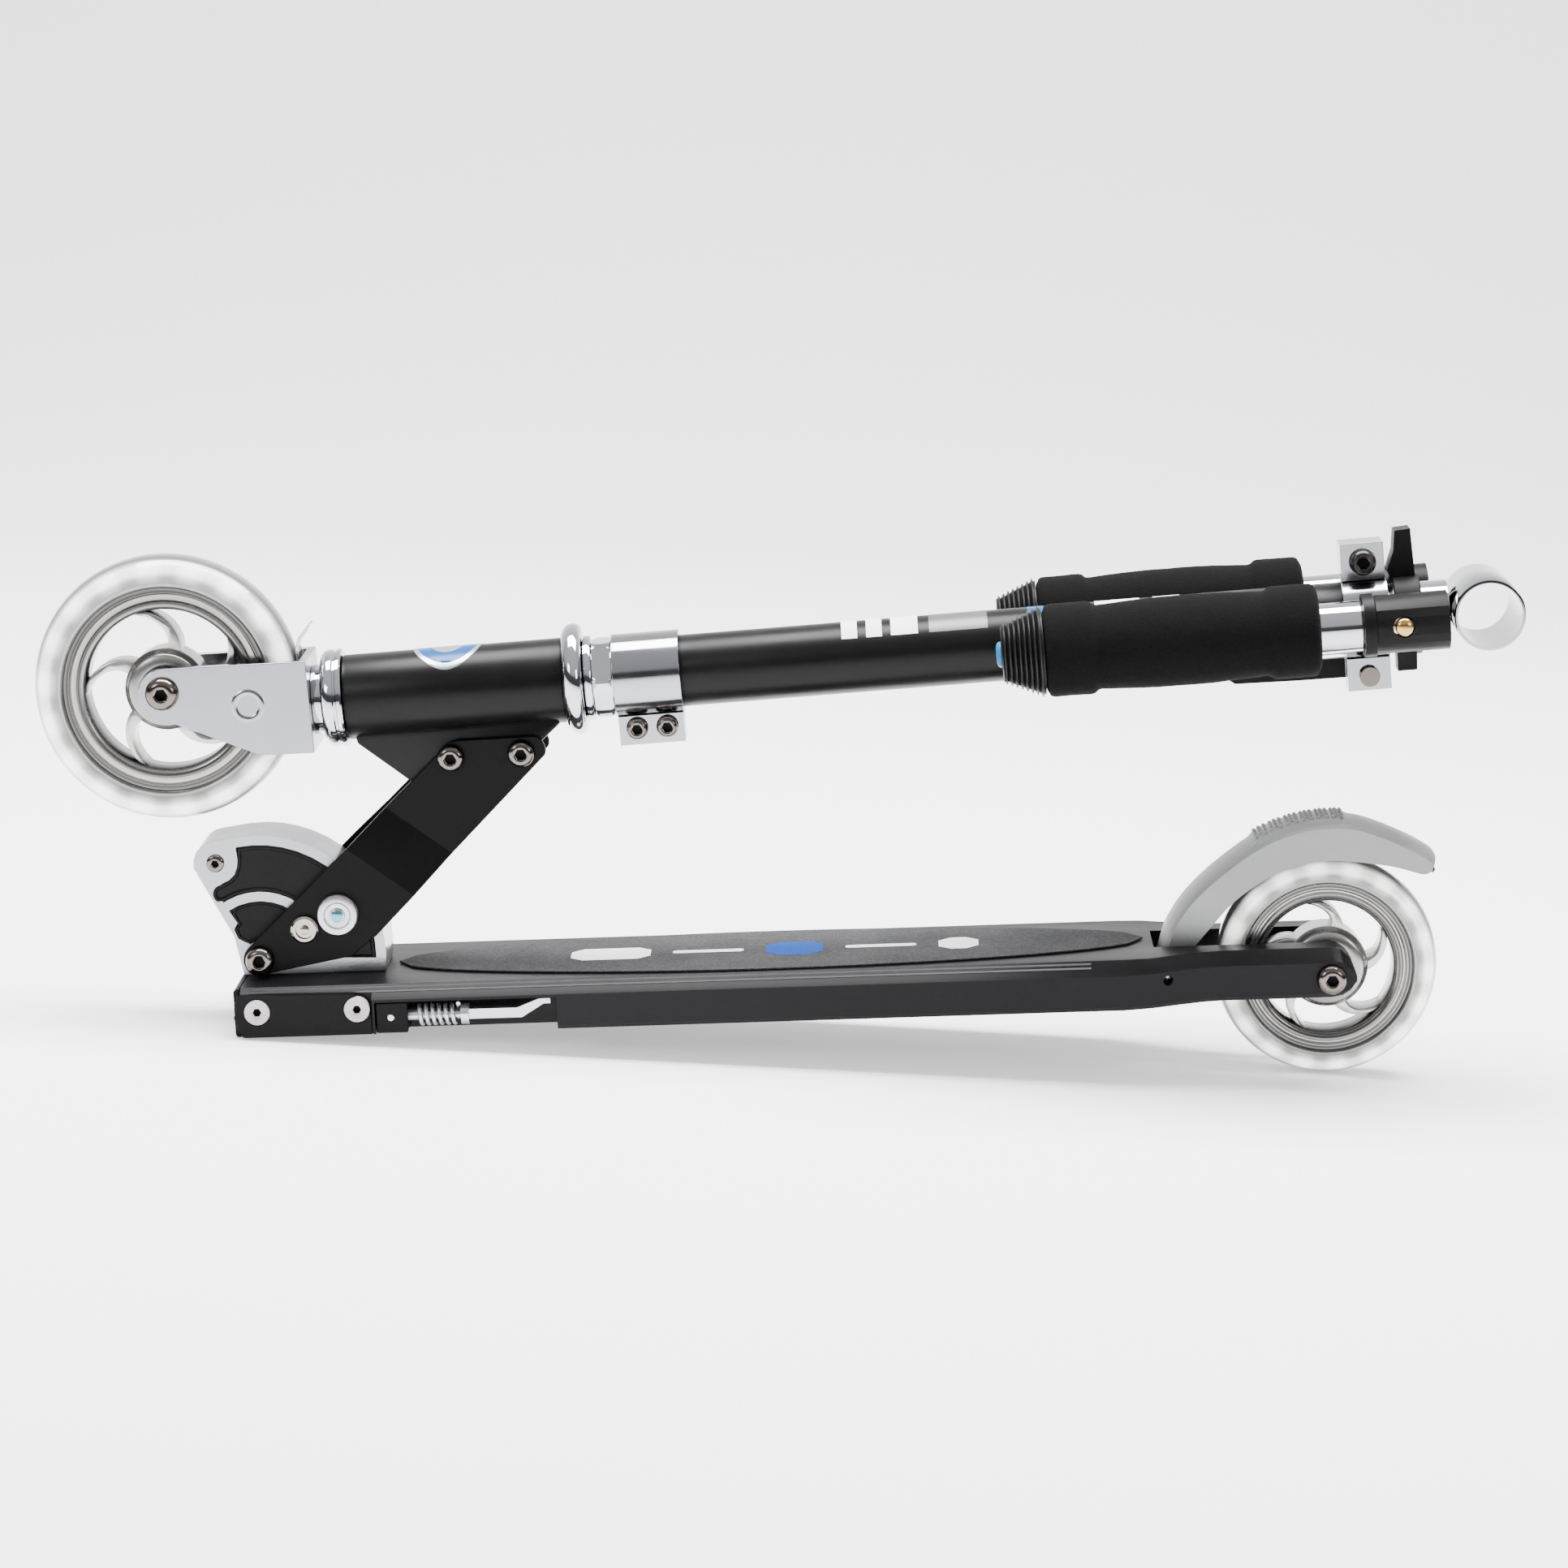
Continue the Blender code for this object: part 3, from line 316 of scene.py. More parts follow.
cap_black = surface("moulded_black", (0.003, 0.003, 0.0033), 0.42, 0.0, 1800, 0.12, 0.15, 0.06, shine=0.08)
# Near-black painted shade for the insides of hexagon sockets.
socket_painted_shade = surface("socket_painted_shade", (0.004, 0.004, 0.004), 0.6, 0.0, 900, 0.05, 0.1, 0.05, shine=0.1)
plate_black = surface("coated_black", (0.0032, 0.003, 0.0035), 0.42, 0.0, 1300, 0.07, 0.15, 0.05, shine=0.08)
bright_turned = surface("turned_bright", (0.42, 0.395, 0.39), 0.42, 0.5, 1500, 0.05, 0.05, 0.08)
dressed("deck_front_cap", "deck_body", cap_black, CAP_EDGE)
for side in ("left", "right"):
    dressed(f"side_plate_{side}", "deck_body", plate_black, 0.45)
for x, end in SIDE_BOLTS:
    bolt = socket_bolt(47.2, 2.5, 5.75, 0, (x, BOLT_HEIGHT), 0.34, flat=True)
    place(
        f"side_bolt_{end}_turned", bolt, deck_at, "deck_body", "cast_aluminium", bright_turned,
        (f"side_bolt_{end}",),
    )

# ---- Folding block -----------------------------------------------------------------------------------------
# The cast aluminium block that the arms fold around: tumbled to a satin finish, with a boss for a rivet at
# its front. Two black moulded inserts fill its windows, each with a raised rim and a sunk face.

cast_silver = surface("block_cast_silver", (0.30, 0.305, 0.325), 0.26, 0.95, 700, 0.07, 0.06, 0.08)
insert_black = surface("insert_black", (0.0025, 0.0025, 0.0027), 0.34, 0.0, 1500, 0.1, 0.2, 0.08, shine=0.10)
dark_steel = surface("bolt_dark_steel", (0.13, 0.112, 0.10), 0.14, 1.0, 900, 0.03, 0.15, 0.07)
INSERT_HALF = 15.9
RIVET = (-18.5, 43.8)


def arc(radius, start, stop, count, centre=(0.0, 0.0)):
    """Points on an arc, angles in degrees from X towards Z."""
    turns = [math.radians(start + (stop - start) * i / (count - 1)) for i in range(count)]
    return [(centre[0] + radius * math.cos(t), centre[1] + radius * math.sin(t)) for t in turns]


def prism(outline, low, high):
    """An outline in X and Z, extruded across the scooter."""
    bm = bmesh.new()
    face = bm.faces.new([bm.verts.new((x, low, z)) for x, z in outline])
    grown = bmesh.ops.extrude_face_region(bm, geom=[face])["geom"]
    moved = [v for v in grown if isinstance(v, bmesh.types.BMVert)]
    bmesh.ops.translate(bm, vec=(0, high - low, 0), verts=moved)
    return bm


def sunk_prism(outline, half, rim, depth):
    """A prism with a raised rim around the sunk faces on both of its sides."""
    bm = prism(outline, -half, half)
    bm.normal_update()
    faces = [f for f in bm.faces if abs(f.normal.y) > 0.9]
    bmesh.ops.recalc_face_normals(bm, faces=bm.faces)
    for wide, deep in ((0.4, 0.4), (rim, 0.0), (0.4, -depth)):
        bmesh.ops.inset_region(bm, faces=faces, thickness=wide, depth=deep, use_even_offset=False)
    return bm


dressed("fold_block", "deck_body", cast_silver, 0.8)
upper_shape = arc(51.2, -2, 99, 40) + [(-8.4, 46.0), (-8.8, 42.0), (-10.2, 38.4), (-12.6, 36.0)]
upper_shape += [(-16.0, 34.2)] + arc(4.2, 95, 235, 8, (-16.2, 29.6)) + arc(30.5, 120, -2, 36)
lower_shape = arc(25.5, -2, 116, 30) + [(-12.0, 20.2), (-10.4, 16.6), (-9.4, 15.6), (-11.3, 13.4)]
lower_shape += [(-9.8, 9.2)] + arc(8.3, 128, -2, 14)
for word, outline, rim in (("upper", upper_shape, 1.0), ("lower", lower_shape, 0.6)):
    insert = sunk_prism(outline, INSERT_HALF, rim, 0.7)
    place(
        f"block_insert_{word}", insert, deck_at, "deck_body", "black_plastic", insert_black,
        (f"fold_insert_{word}",), 0.25,
    )
rivet = socket_bolt(15.8, 2.5, 4.0, 1.5, RIVET, 0.42)
place("block_rivet", rivet, deck_at, "deck_body", "bolt_steel", dark_steel, ("fold_rivet",))
pivot_bolt = socket_bolt(22.2, 4.0, 6.5, 4.2, (0.0, 0.0), 0.44)
place("pivot_bolt_domed", pivot_bolt, deck_at, "deck_body", "bolt_steel", dark_steel, ("pivot_bolt",))

# ---- Side stand --------------------------------------------------------------------------------------------
# A bright zinc leg on a black pivot block in the deck's pocket. A coil spring on the leg's round part holds
# it against its collar; past the collar the leg is flat bar, cranked up at its end.

zinc = surface("bright_zinc", (0.50, 0.51, 0.54), 0.26, 0.85, 900, 0.04, 0.08, 0.1)
STAND = (60.0, -40.5, -22.5)
dressed("kickstand_block", "deck_body", cap_black, 0.3)
dressed("kickstand_leg", "kickstand", zinc, 0.35)


def spring_coil(start, length, turns, radius, wire_radius, steps=36, sides=10):
    """A coil spring along X, swept by extruding its end ring step by step."""
    bm = bmesh.new()
    first = bmesh.ops.create_circle(bm, cap_ends=True, radius=wire_radius, segments=sides)["verts"]
    upright = Matrix.Rotation(math.pi / 2, 4, "X")
    bmesh.ops.transform(bm, matrix=Matrix.Translation((0, 0, radius)) @ upright, verts=first)
    face = first[0].link_faces[0]
    last = Matrix.Identity(4)
    for step in range(1, turns * steps + 1):
        t = step / (turns * steps)
        grown = bmesh.ops.extrude_face_region(bm, geom=[face])["geom"]
        verts = [v for v in grown if isinstance(v, bmesh.types.BMVert)]
        if step > 1:
            bmesh.ops.delete(bm, geom=[face], context="FACES_ONLY")
        face = next(f for f in grown if isinstance(f, bmesh.types.BMFace))
        here = Matrix.Translation((length * t, 0, 0)) @ Matrix.Rotation(math.tau * turns * t, 4, "X")
        bmesh.ops.transform(bm, matrix=here @ last.inverted(), verts=verts)
        last = here
    bmesh.ops.translate(bm, vec=start, verts=bm.verts)
    return bm


coil = spring_coil((STAND[0] + 12.3, STAND[1], STAND[2]), 17.4, 6, 4.25, 0.95)
place("stand_spring", coil, deck_at, "kickstand", "zinc", zinc, ("kickstand_spring",), 0, 60)

# ---- Wheels ------------------------------------------------------------------------------------------------
# Each wheel is a silver-white moulded core with five swept spokes, a cast-on tyre of clear milky polyurethane
# and a bearing cartridge on the axle bolt. The front wheel is 120 mm across and the rear one 100 mm.

HUB_RADIUS = 17.0
WHEEL_HALF = 12.0
RIM_OUTER = 0.76
RIM_INNER = 0.60
TYRE_ROUND = 8.5
SPOKES = 5
LAMPS = 18
bearing_steel = surface("bearing_steel", (0.26, 0.26, 0.27), 0.25, 1.0, 900, 0.03, 0.1, 0.06)


def rim_section(radius):
    """The rim: a wide ring with a groove on each face and a rounded inner lip."""
    outer, inner, half = RIM_OUTER * radius, RIM_INNER * radius, WHEEL_HALF - 2.0
    one = [(half - 2.6, inner), (half - 0.8, inner + 0.8), (half, inner + 2.4), (half - 0.1, inner + 3.6)]
    one += [(half - 1.6, inner + 4.4), (half - 1.6, outer - 3.0), (half - 0.2, outer - 2.0)]
    one += [(half - 0.2, outer)]
    other = [(-along, r) for along, r in one]
    return list(reversed(other)) + one


def swept_spoke(start, inner, outer):
    """A curved spoke with a crowned edge: its middle line turns 35 degrees on the way out."""
    edge, other = [], []
    for i in range(13):
        t = i / 12
        reach = inner + (outer - inner) * t
        turn = start + math.radians(35) * t * t
        half = 3.4 - 0.6 * math.sin(math.pi * t) - 0.4 * t
        edge.append((reach * math.cos(turn - half / reach), reach * math.sin(turn - half / reach)))
        other.append((reach * math.cos(turn + half / reach), reach * math.sin(turn + half / reach)))
    bm = prism(edge + list(reversed(other)), -7.4, 7.4)
    rims = [e for e in bm.edges if abs(e.verts[0].co.y - e.verts[1].co.y) < 0.01]
    bmesh.ops.bevel(bm, geom=rims, offset=0.9, segments=2, profile=0.5, affect="EDGES", material=-1)
    return bm


def gathered(parts):
    """One bmesh of several closed shapes that meet inside each other."""
    whole = bmesh.new()
    for part in parts:
        bmesh.ops.recalc_face_normals(part, faces=part.faces)
        mesh = bpy.data.meshes.new("part")
        part.to_mesh(mesh)
        part.free()
        whole.from_mesh(mesh)
        bpy.data.meshes.remove(mesh)
    return whole


def paint_ring_light(look, centre, radius, rings, glow=0.0):
    """Paints light and shade in bands on a round piece by its distance from the axle, with an even ring of
    soft lamps if it glows.
    """
    tree = look.node_tree
    shader = tree.nodes["Principled BSDF"]
    where = node_in(look, "ShaderNodeTexCoord", (-1700, 700))
    from_axle = node_in(look, "ShaderNodeVectorMath", (-1500, 700))
    from_axle.operation = "SUBTRACT"
    from_axle.inputs[1].default_value = centre
    wire(look, where, "Object", from_axle, 0)
    flat = node_in(look, "ShaderNodeVectorMath", (-1300, 700))
    flat.operation = "MULTIPLY"
    flat.inputs[1].default_value = (1 / (radius * MM), 0, 1 / (radius * MM))
    wire(look, from_axle, "Vector", flat, 0)
    reach = node_in(look, "ShaderNodeVectorMath", (-1100, 700))
    reach.operation = "LENGTH"
    wire(look, flat, "Vector", reach, 0)
    # Painted light and shade: the ramp sets bands of lighter and darker colour by distance from the axle.
    ramp = node_in(look, "ShaderNodeValToRGB", (-900, 700))
    marks = ramp.color_ramp.elements
    marks.remove(marks[1])
    marks[0].position, marks[0].color = rings[0][0], (*[rings[0][1]] * 3, 1)
    for at, value in rings[1:]:
        marks.new(at).color = (value, value, value * 1.005, 1)
    wire(look, reach, "Value", ramp, "Fac")
    both = node_in(look, "ShaderNodeMix", (-150, 600))
    both.data_type = "RGBA"
    both.blend_type = "MULTIPLY"
    both.inputs[0].default_value = 1.0
    plain = next(link for link in tree.links if link.to_socket == shader.inputs["Base Color"])
    tree.links.new(plain.from_socket, both.inputs[6])
    tree.links.new(ramp.outputs["Color"], both.inputs[7])
    tree.links.new(both.outputs[2], shader.inputs["Base Color"])
    if not glow:
        return look
    parts = node_in(look, "ShaderNodeSeparateXYZ", (-1100, 1000))
    wire(look, flat, "Vector", parts, "Vector")
    turn = node_in(look, "ShaderNodeMath", (-900, 1000))
    turn.operation = "ARCTAN2"
    wire(look, parts, "Z", turn, 0)
    wire(look, parts, "X", turn, 1)
    many = node_in(look, "ShaderNodeMath", (-700, 1000))
    many.operation = "MULTIPLY"
    many.inputs[1].default_value = LAMPS
    wire(look, turn, 0, many, 0)
    lamps = node_in(look, "ShaderNodeMath", (-500, 1000))
    lamps.operation = "COSINE"
    wire(look, many, 0, lamps, 0)
    soft = node_in(look, "ShaderNodeMapRange", (-300, 1000))
    soft.interpolation_type = "SMOOTHSTEP"
    soft.inputs["From Min"].default_value = -1.0
    soft.inputs["From Max"].default_value = 1.0
    soft.inputs["To Min"].default_value = 0.35 * glow
    soft.inputs["To Max"].default_value = glow
    wire(look, lamps, 0, soft, "Value")
    band = node_in(look, "ShaderNodeValToRGB", (-700, 1300))
    edges = band.color_ramp.elements
    edges[0].position, edges[0].color = 0.80, (0, 0, 0, 1)
    edges[1].position, edges[1].color = 0.87, (1, 1, 1, 1)
    edges.new(0.935).color = (1, 1, 1, 1)
    edges.new(0.975).color = (0, 0, 0, 1)
    wire(look, reach, "Value", band, "Fac")
    lit = node_in(look, "ShaderNodeMath", (-100, 1100))
    lit.operation = "MULTIPLY"
    wire(look, soft, "Result", lit, 0)
    wire(look, band, "Color", lit, 1)
    shader.inputs["Emission Color"].default_value = (1.0, 0.985, 0.96, 1)
    wire(look, lit, 0, shader, "Emission Strength")
    return look


# The tyre's bands are painted light: dark lines at its edges, bright bands between, for the refraction and
# reflection in the clear urethane.
TYRE_PAINTED_LIGHT = ((0.76, 0.03), (0.778, 0.05), (0.79, 0.5), (0.805, 0.22), (0.84, 0.12), (0.86, 0.3))
TYRE_PAINTED_LIGHT += ((0.885, 1.0), (0.945, 1.0), (0.96, 0.45), (0.982, 0.10), (1.0, 0.25))
# The core's bands are painted light and shade: dark rings in the rim's grooves and at its inner lip, darker
# round the hub, lighter between.
CORE_PAINTED_SHADE = ((0.0, 0.4), (0.28, 0.5), (0.36, 0.9), (0.57, 0.8), (0.60, 0.05), (0.625, 0.5), (0.65, 0.05))
CORE_PAINTED_SHADE += ((0.68, 0.6), (0.715, 0.8), (0.735, 0.05), (0.76, 0.3))


def wheel(word, radius, body, at, spacer):
    """One wheel on its axle: the tyre, the core with its spokes, and the cartridge out to its spacers."""
    centre = tuple(at.translation)
    tyre_clear = surface(f"{word}_tyre_urethane", (0.80, 0.79, 0.775), 0.12, 0.0, 60, 0.02, 0.02, 0.04)
    tyre_shader = tyre_clear.node_tree.nodes["Principled BSDF"]
    tyre_shader.inputs["Transmission Weight"].default_value = 0.1
    tyre_shader.inputs["IOR"].default_value = 1.42
    tyre_shader.inputs["Coat Weight"].default_value = 0.6
    tyre_shader.inputs["Coat Roughness"].default_value = 0.05
    # Bands of painted reflection and shade on the tyre, and the glow of the wheel's own LEDs.
    paint_ring_light(tyre_clear, centre, radius, TYRE_PAINTED_LIGHT, 2.2)
    core_silver = surface(f"{word}_core_silver", (0.50, 0.488, 0.475), 0.20, 0.85, 600, 0.03, 0.12, 0.08)
    # Bands of painted shade and highlight on the core.
    paint_ring_light(core_silver, centre, radius, CORE_PAINTED_SHADE)
    rim_outer = RIM_OUTER * radius
    shoulder = radius - TYRE_ROUND
    flank = [(WHEEL_HALF, shoulder - 0.6), (WHEEL_HALF, rim_outer + 2.0), (WHEEL_HALF - 0.6, rim_outer + 0.6)]
    flank += [(WHEEL_HALF - 2.0, rim_outer + 0.05)]
    tread = []
    for step in range(19):
        turn = math.radians(90 - 10 * step)
        tread.append((-WHEEL_HALF * math.sin(turn), shoulder + TYRE_ROUND * math.cos(turn)))
    tyre = turned([(-along, r) for along, r in reversed(flank)] + tread + flank, 128, "Y")
    place(f"{word}_tyre_clear", tyre, at, body, "clear_tyre", tyre_clear, (f"{word}_tyre",), 0, 60)
    hub = [(-12.0, 11.3), (-12.0, 15.4), (-11.0, 16.6), (-9.0, 17.0), (-7.6, 18.4), (7.6, 18.4), (9.0, 17.0)]
    hub += [(11.0, 16.6), (12.0, 15.4), (12.0, 11.3)]
    parts = [turned(rim_section(radius), 128, "Y"), turned(hub, 96, "Y")]
    rim_inner = RIM_INNER * radius
    parts += [swept_spoke(math.tau * n / SPOKES, HUB_RADIUS - 1.5, rim_inner + 1.2) for n in range(SPOKES)]
    core = gathered(parts)
    place(f"{word}_core_moulded", core, at, body, "wheel_core", core_silver, (f"{word}_wheel_core",), 0, 40)
    reach = spacer - GAP
    cartridge = [(-reach, 4.3), (-reach, 6.8), (-reach + 0.4, 7.2), (-11.6, 7.2), (-11.2, 7.6), (-11.2, 8.6)]
    cartridge += [(-11.7, 8.8), (-11.7, 10.8), (-11.4, 11.1)]
    bearing = turned(cartridge + [(-along, r) for along, r in reversed(cartridge)], 64, "Y")
    place(f"{word}_bearing_turned", bearing, at, body, "zinc", bearing_steel, (f"{word}_bearing",))


REAR_AXLE = (477.8, -21.5)
FRONT_AXLE = (-79.5, 11.5)
rear_at = deck_at @ Matrix.Translation((REAR_AXLE[0], 0, REAR_AXLE[1]))
front_at = column_at @ Matrix.Translation((FRONT_AXLE[0], 0, FRONT_AXLE[1]))
wheel("rear", 50.0, "rear_wheel", rear_at, 16.6)
wheel("front", 60.0, "front_wheel", front_at, 17.0)
rear_bolt = socket_bolt(34.3, 4.0, 6.75, 4.0, REAR_AXLE, 0.42)
place("rear_axle_domed", rear_bolt, deck_at, "deck_body", "bolt_steel", dark_steel, ("rear_axle_bolt",))
front_bolt = socket_bolt(20.9, 4.0, 7.5, 4.4, FRONT_AXLE, 0.40)
place("front_axle_domed", front_bolt, column_at, "steering", "bolt_steel", dark_steel, ("front_axle_bolt",))

# ---- Brake fender ------------------------------------------------------------------------------------------
# The cast fender that the heel presses onto the tyre: one frosted, silver-grey arch from its foot in the deck
# to a tapering tail, with skirts beside the tyre and a raised pad of small studs on top. It turns on a pin
# that is peened over outside the deck's stays.

BRAKE_PIN = (405.0, -18.0)
CROWN_DROP = 3.4
STUD_RADIUS = 0.95
pin_line = [(-34.7, 0), (-34.7, 1.4), (-34.3, 2.0), (34.3, 2.0), (34.7, 1.4), (34.7, 0)]
pin = turned(pin_line, 32, "Y", (BRAKE_PIN[0], 0, BRAKE_PIN[1]))
place("brake_pin_peened", pin, deck_at, "deck_body", "zinc", zinc, ("brake_pin",))
fender_grey = surface("fender_frosted", (0.22, 0.222, 0.225), 0.40, 0.45, 2600, 0.35, 0.10, 0.06)
brake_at = deck_at @ Matrix.Translation((BRAKE_PIN[0], 0, BRAKE_PIN[1]))
outer_line = [(-3.0, 4.0), (2.5, 19.5), (15.5, 36.0), (38.0, 53.5), (56.0, 61.5), (73.0, 64.3), (90.0, 62.5)]
outer_line += [(111.0, 53.5), (124.3, 45.0)]
inner_line = [(9.5, 4.0), (20.5, 17.0), (32.0, 29.5), (47.0, 39.5), (60.0, 44.5), (73.0, 46.3), (86.0, 45.4)]
inner_line += [(103.0, 42.5), (118.5, 37.5)]


def curve_through(points, count):
    """Even steps along a smooth curve through the points."""
    out = []
    for i in range(count):
        t = (len(points) - 1) * i / (count - 1)
        k = min(int(t), len(points) - 2)
        f = t - k
        p = [Vector(points[min(max(k + o, 0), len(points) - 1)]) for o in (-1, 0, 1, 2)]
        a = 2 * p[1]
        b = p[2] - p[0]
        c = 2 * p[0] - 5 * p[1] + 4 * p[2] - p[3]
        d = -p[0] + 3 * p[1] - 3 * p[2] + p[3]
        out.append((a + b * f + c * f * f + d * f * f * f) / 2)
    return out


def fender_half(t):
    """Half the fender's width at the share t of the way to the tail."""
    return 13.5 + 2.3 * min(t / 0.25, 1.0) - 2.5 * max(t - 0.75, 0.0)


def fender_arch():
    """The arch, extruded from its foot: a crowned top, skirts at the sides and a channel for the tyre."""
    count = 56
    top, under = curve_through(outer_line, count), curve_through(inner_line, count)
    bm = bmesh.new()
    face = None
    for i in range(count):
        t = i / (count - 1)
        half = fender_half(t)
        tail = max(t - 0.95, 0.0) / 0.05
        shut = (top[i] - under[i]) * 0.42 * (1 - math.sqrt(max(1 - tail * tail, 0.0)))
        top[i], under[i] = top[i] - shut, under[i] + shut
        up = (top[i] - under[i]).normalized()
        thick = (top[i] - under[i]).length
        channel = under[i] + up * max(min((t - 0.16) * 60, 1.0), 0.0) * max(thick - 6.5, 0.0)
        pad = 1.3 * max(min((t - 0.385) * 60, (0.70 - t) * 60, 1.0), 0.0)
        section = []
        for y in (-1.0, -0.93, -0.86, -0.80, -0.4, 0.0, 0.4, 0.80, 0.86, 0.93, 1.0):
            raised = pad if abs(y) < 0.83 else 0.0
            section.append((y * half, top[i] - up * (CROWN_DROP * abs(y) ** 3 - raised)))
        section += [(half, under[i]), (half - 2.2, under[i]), (half - 2.4, channel), (-half + 2.4, channel)]
        section += [(-half + 2.2, under[i]), (-half, under[i])]
        places = [Vector((p.x, y, p.y)) for y, p in section]
        if face is None:
            face = bm.faces.new([bm.verts.new(p) for p in places])
            continue
        before = list(face.verts)
        grown = bmesh.ops.extrude_face_region(bm, geom=[face])["geom"]
        fresh = {v for v in grown if isinstance(v, bmesh.types.BMVert)}
        if i > 1:
            bmesh.ops.delete(bm, geom=[face], context="FACES_ONLY")
        face = next(f for f in grown if isinstance(f, bmesh.types.BMFace))
        ordered = []
        for old, there in zip(before, places):
            new = next(e.other_vert(old) for e in old.link_edges if e.other_vert(old) in fresh)
            new.co = there
            ordered.append(new)
        if list(face.verts)[0] is not ordered[0]:
            bm.faces.remove(face)
            face = bm.faces.new(ordered)
    return bm


fender = fender_arch()
stands_for = ("brake_fender",)
place("brake_fender_cast", fender, brake_at, "brake", "silver_fender", fender_grey, stands_for, 0.4, 50)
top_curve = curve_through(outer_line, 200)
studs = []
for group in range(6):
    for row in range(3):
        for line in range(-2, 3):
            here = top_curve[80 + group * 10 + row * 3]
            after = top_curve[81 + group * 10 + row * 3]
            slope = math.atan2(after.y - here.y, after.x - here.x)
            y = line * 3.9 + (1.9 if row == 1 else 0.0) - 0.9
            drop = CROWN_DROP * abs(y / 15.6) ** 3
            stud = bmesh.new()
            bmesh.ops.create_uvsphere(stud, u_segments=10, v_segments=6, radius=STUD_RADIUS)
            turn = Matrix.Translation((here.x, y, here.y - drop + 1.2)) @ Matrix.Rotation(-slope, 4, "Y")
            bmesh.ops.transform(stud, matrix=turn, verts=stud.verts)
            studs.append(stud)
place("brake_studs", gathered(studs), brake_at, "brake", "silver_fender", fender_grey, (), 0, 60)

# ---- Arms and lock -----------------------------------------------------------------------------------------
# Two joggled steel plates, powder-coated black, carry the head tube's gusset on two domed through-bolts. Each
# has a knurled bright knob on the lock, and the left one shows the nut of the stop stud.

ARM_LOW_Y = 18.5
ARM_HIGH_Y = 9.4
ARM_THICK = 3.2
ARM_BOLTS = ((89.3, 87.7), (120.8, 88.7))
LOCK_PIN = (36.1, 20.1)
STOP_STUD = (20.9, 13.7)
KNURLS = 144
ARM_RISE = Vector((0.605, 0, 0.796))
JOGGLE_START = 64.5
JOGGLE_LENGTH = 23.9
arm_black = surface("arm_black_coat", (0.0026, 0.0024, 0.0026), 0.40, 0.0, 1100, 0.06, 0.2, 0.05, shine=0.07)


def arm_offset(x, z):
    """Half the gap between the arms at a point: wide at the block, narrow at the gusset."""
    t = min(max((ARM_RISE.x * x + ARM_RISE.z * z - JOGGLE_START) / JOGGLE_LENGTH, 0.0), 1.0)
    return ARM_LOW_Y + (ARM_HIGH_Y - ARM_LOW_Y) * t


def arm_plate(side):
    """A flat blank, creased along two lines and pressed to its joggle, then given its thickness."""
    outline = arc(7.6, 137, 308, 30) + [(41.4, 0.6)] + arc(4, -75, -48, 5, (50.0, 12.5))
    outline += [(131.6, 87.8), (131.8, 90.2), (131.0, 92.8), (129.4, 95.2), (127.2, 96.2), (92.0, 95.4)]
    outline += [(88.5, 94.2)]
    bm = bmesh.new()
    bm.faces.new([bm.verts.new((x, 0, z)) for x, z in outline])
    for along in (JOGGLE_START, JOGGLE_START + JOGGLE_LENGTH):
        everything = list(bm.verts) + list(bm.edges) + list(bm.faces)
        bmesh.ops.bisect_plane(bm, geom=everything, dist=0.001, plane_co=ARM_RISE * along, plane_no=ARM_RISE)
    for vert in bm.verts:
        vert.co.y = side * arm_offset(vert.co.x, vert.co.z)
    grown = bmesh.ops.extrude_face_region(bm, geom=list(bm.faces))["geom"]
    moved = [v for v in grown if isinstance(v, bmesh.types.BMVert)]
    bmesh.ops.translate(bm, vec=(0, side * ARM_THICK, 0), verts=moved)
    return bm


def knob(side):
    """The knurled knob: a ribbed rim, a dished face and a zinc screw in its middle."""
    shape = [(16.7, 0), (16.7, 3.0), (22.0, 3.0), (22.0, 8.6), (22.5, 9.2), (24.6, 9.2), (25.6, 8.7)]
    shape += [(25.9, 7.4), (25.9, 6.2), (25.1, 5.4), (25.0, 3.6), (25.9, 3.2), (26.1, 2.4), (26.1, 1.4)]
    shape += [(25.2, 1.2), (25.0, 0)]
    bm = turned([(side * along, radius) for along, radius in shape], KNURLS, "Y")
    for vert in bm.verts:
        reach = math.hypot(vert.co.x, vert.co.z)
        if reach > 7.3:
            turn = math.atan2(vert.co.z, vert.co.x)
            shrink = 1 - 0.018 * (round(turn / math.tau * KNURLS) % 2)
            vert.co.x *= shrink
            vert.co.z *= shrink
    return bm


blue_zinc = surface("screw_blue_zinc", (0.12, 0.30, 0.36), 0.2, 0.9, 900, 0.03, 0.1, 0.05)
knob_silver = surface("knob_silver", (0.48, 0.48, 0.51), 0.24, 0.9, 900, 0.04, 0.05, 0.08)
screw_line = ((24.9, 0), (24.9, 3.3), (25.7, 3.2), (26.2, 2.6), (26.2, 0))
for side, word in ((-1, "left"), (1, "right")):
    plate = arm_plate(side)
    stands_for = (f"arm_plate_{word}",)
    place(f"arm_{word}_joggled", plate, deck_at, "head", "black_paint", arm_black, stands_for, 0.5, 12)
    at = deck_at @ Matrix.Translation((LOCK_PIN[0], 0, LOCK_PIN[1]))
    place(
        f"lock_knob_{word}_knurled", knob(side), at, f"lock_{word}", "cast_aluminium", knob_silver,
        (f"lock_knob_{word}",), 0, 24,
    )
    screw = turned([(side * along, radius) for along, radius in screw_line], 48, "Y")
    place(f"lock_screw_{word}", screw, at, f"lock_{word}", "cast_aluminium", blue_zinc, (), 0, 40)
nut = [(-22.0, 0), (-22.0, 5.8), (-22.4, 6.2), (-23.8, 6.2), (-24.7, 5.2), (-24.7, 4.0), (-23.2, 3.8)]
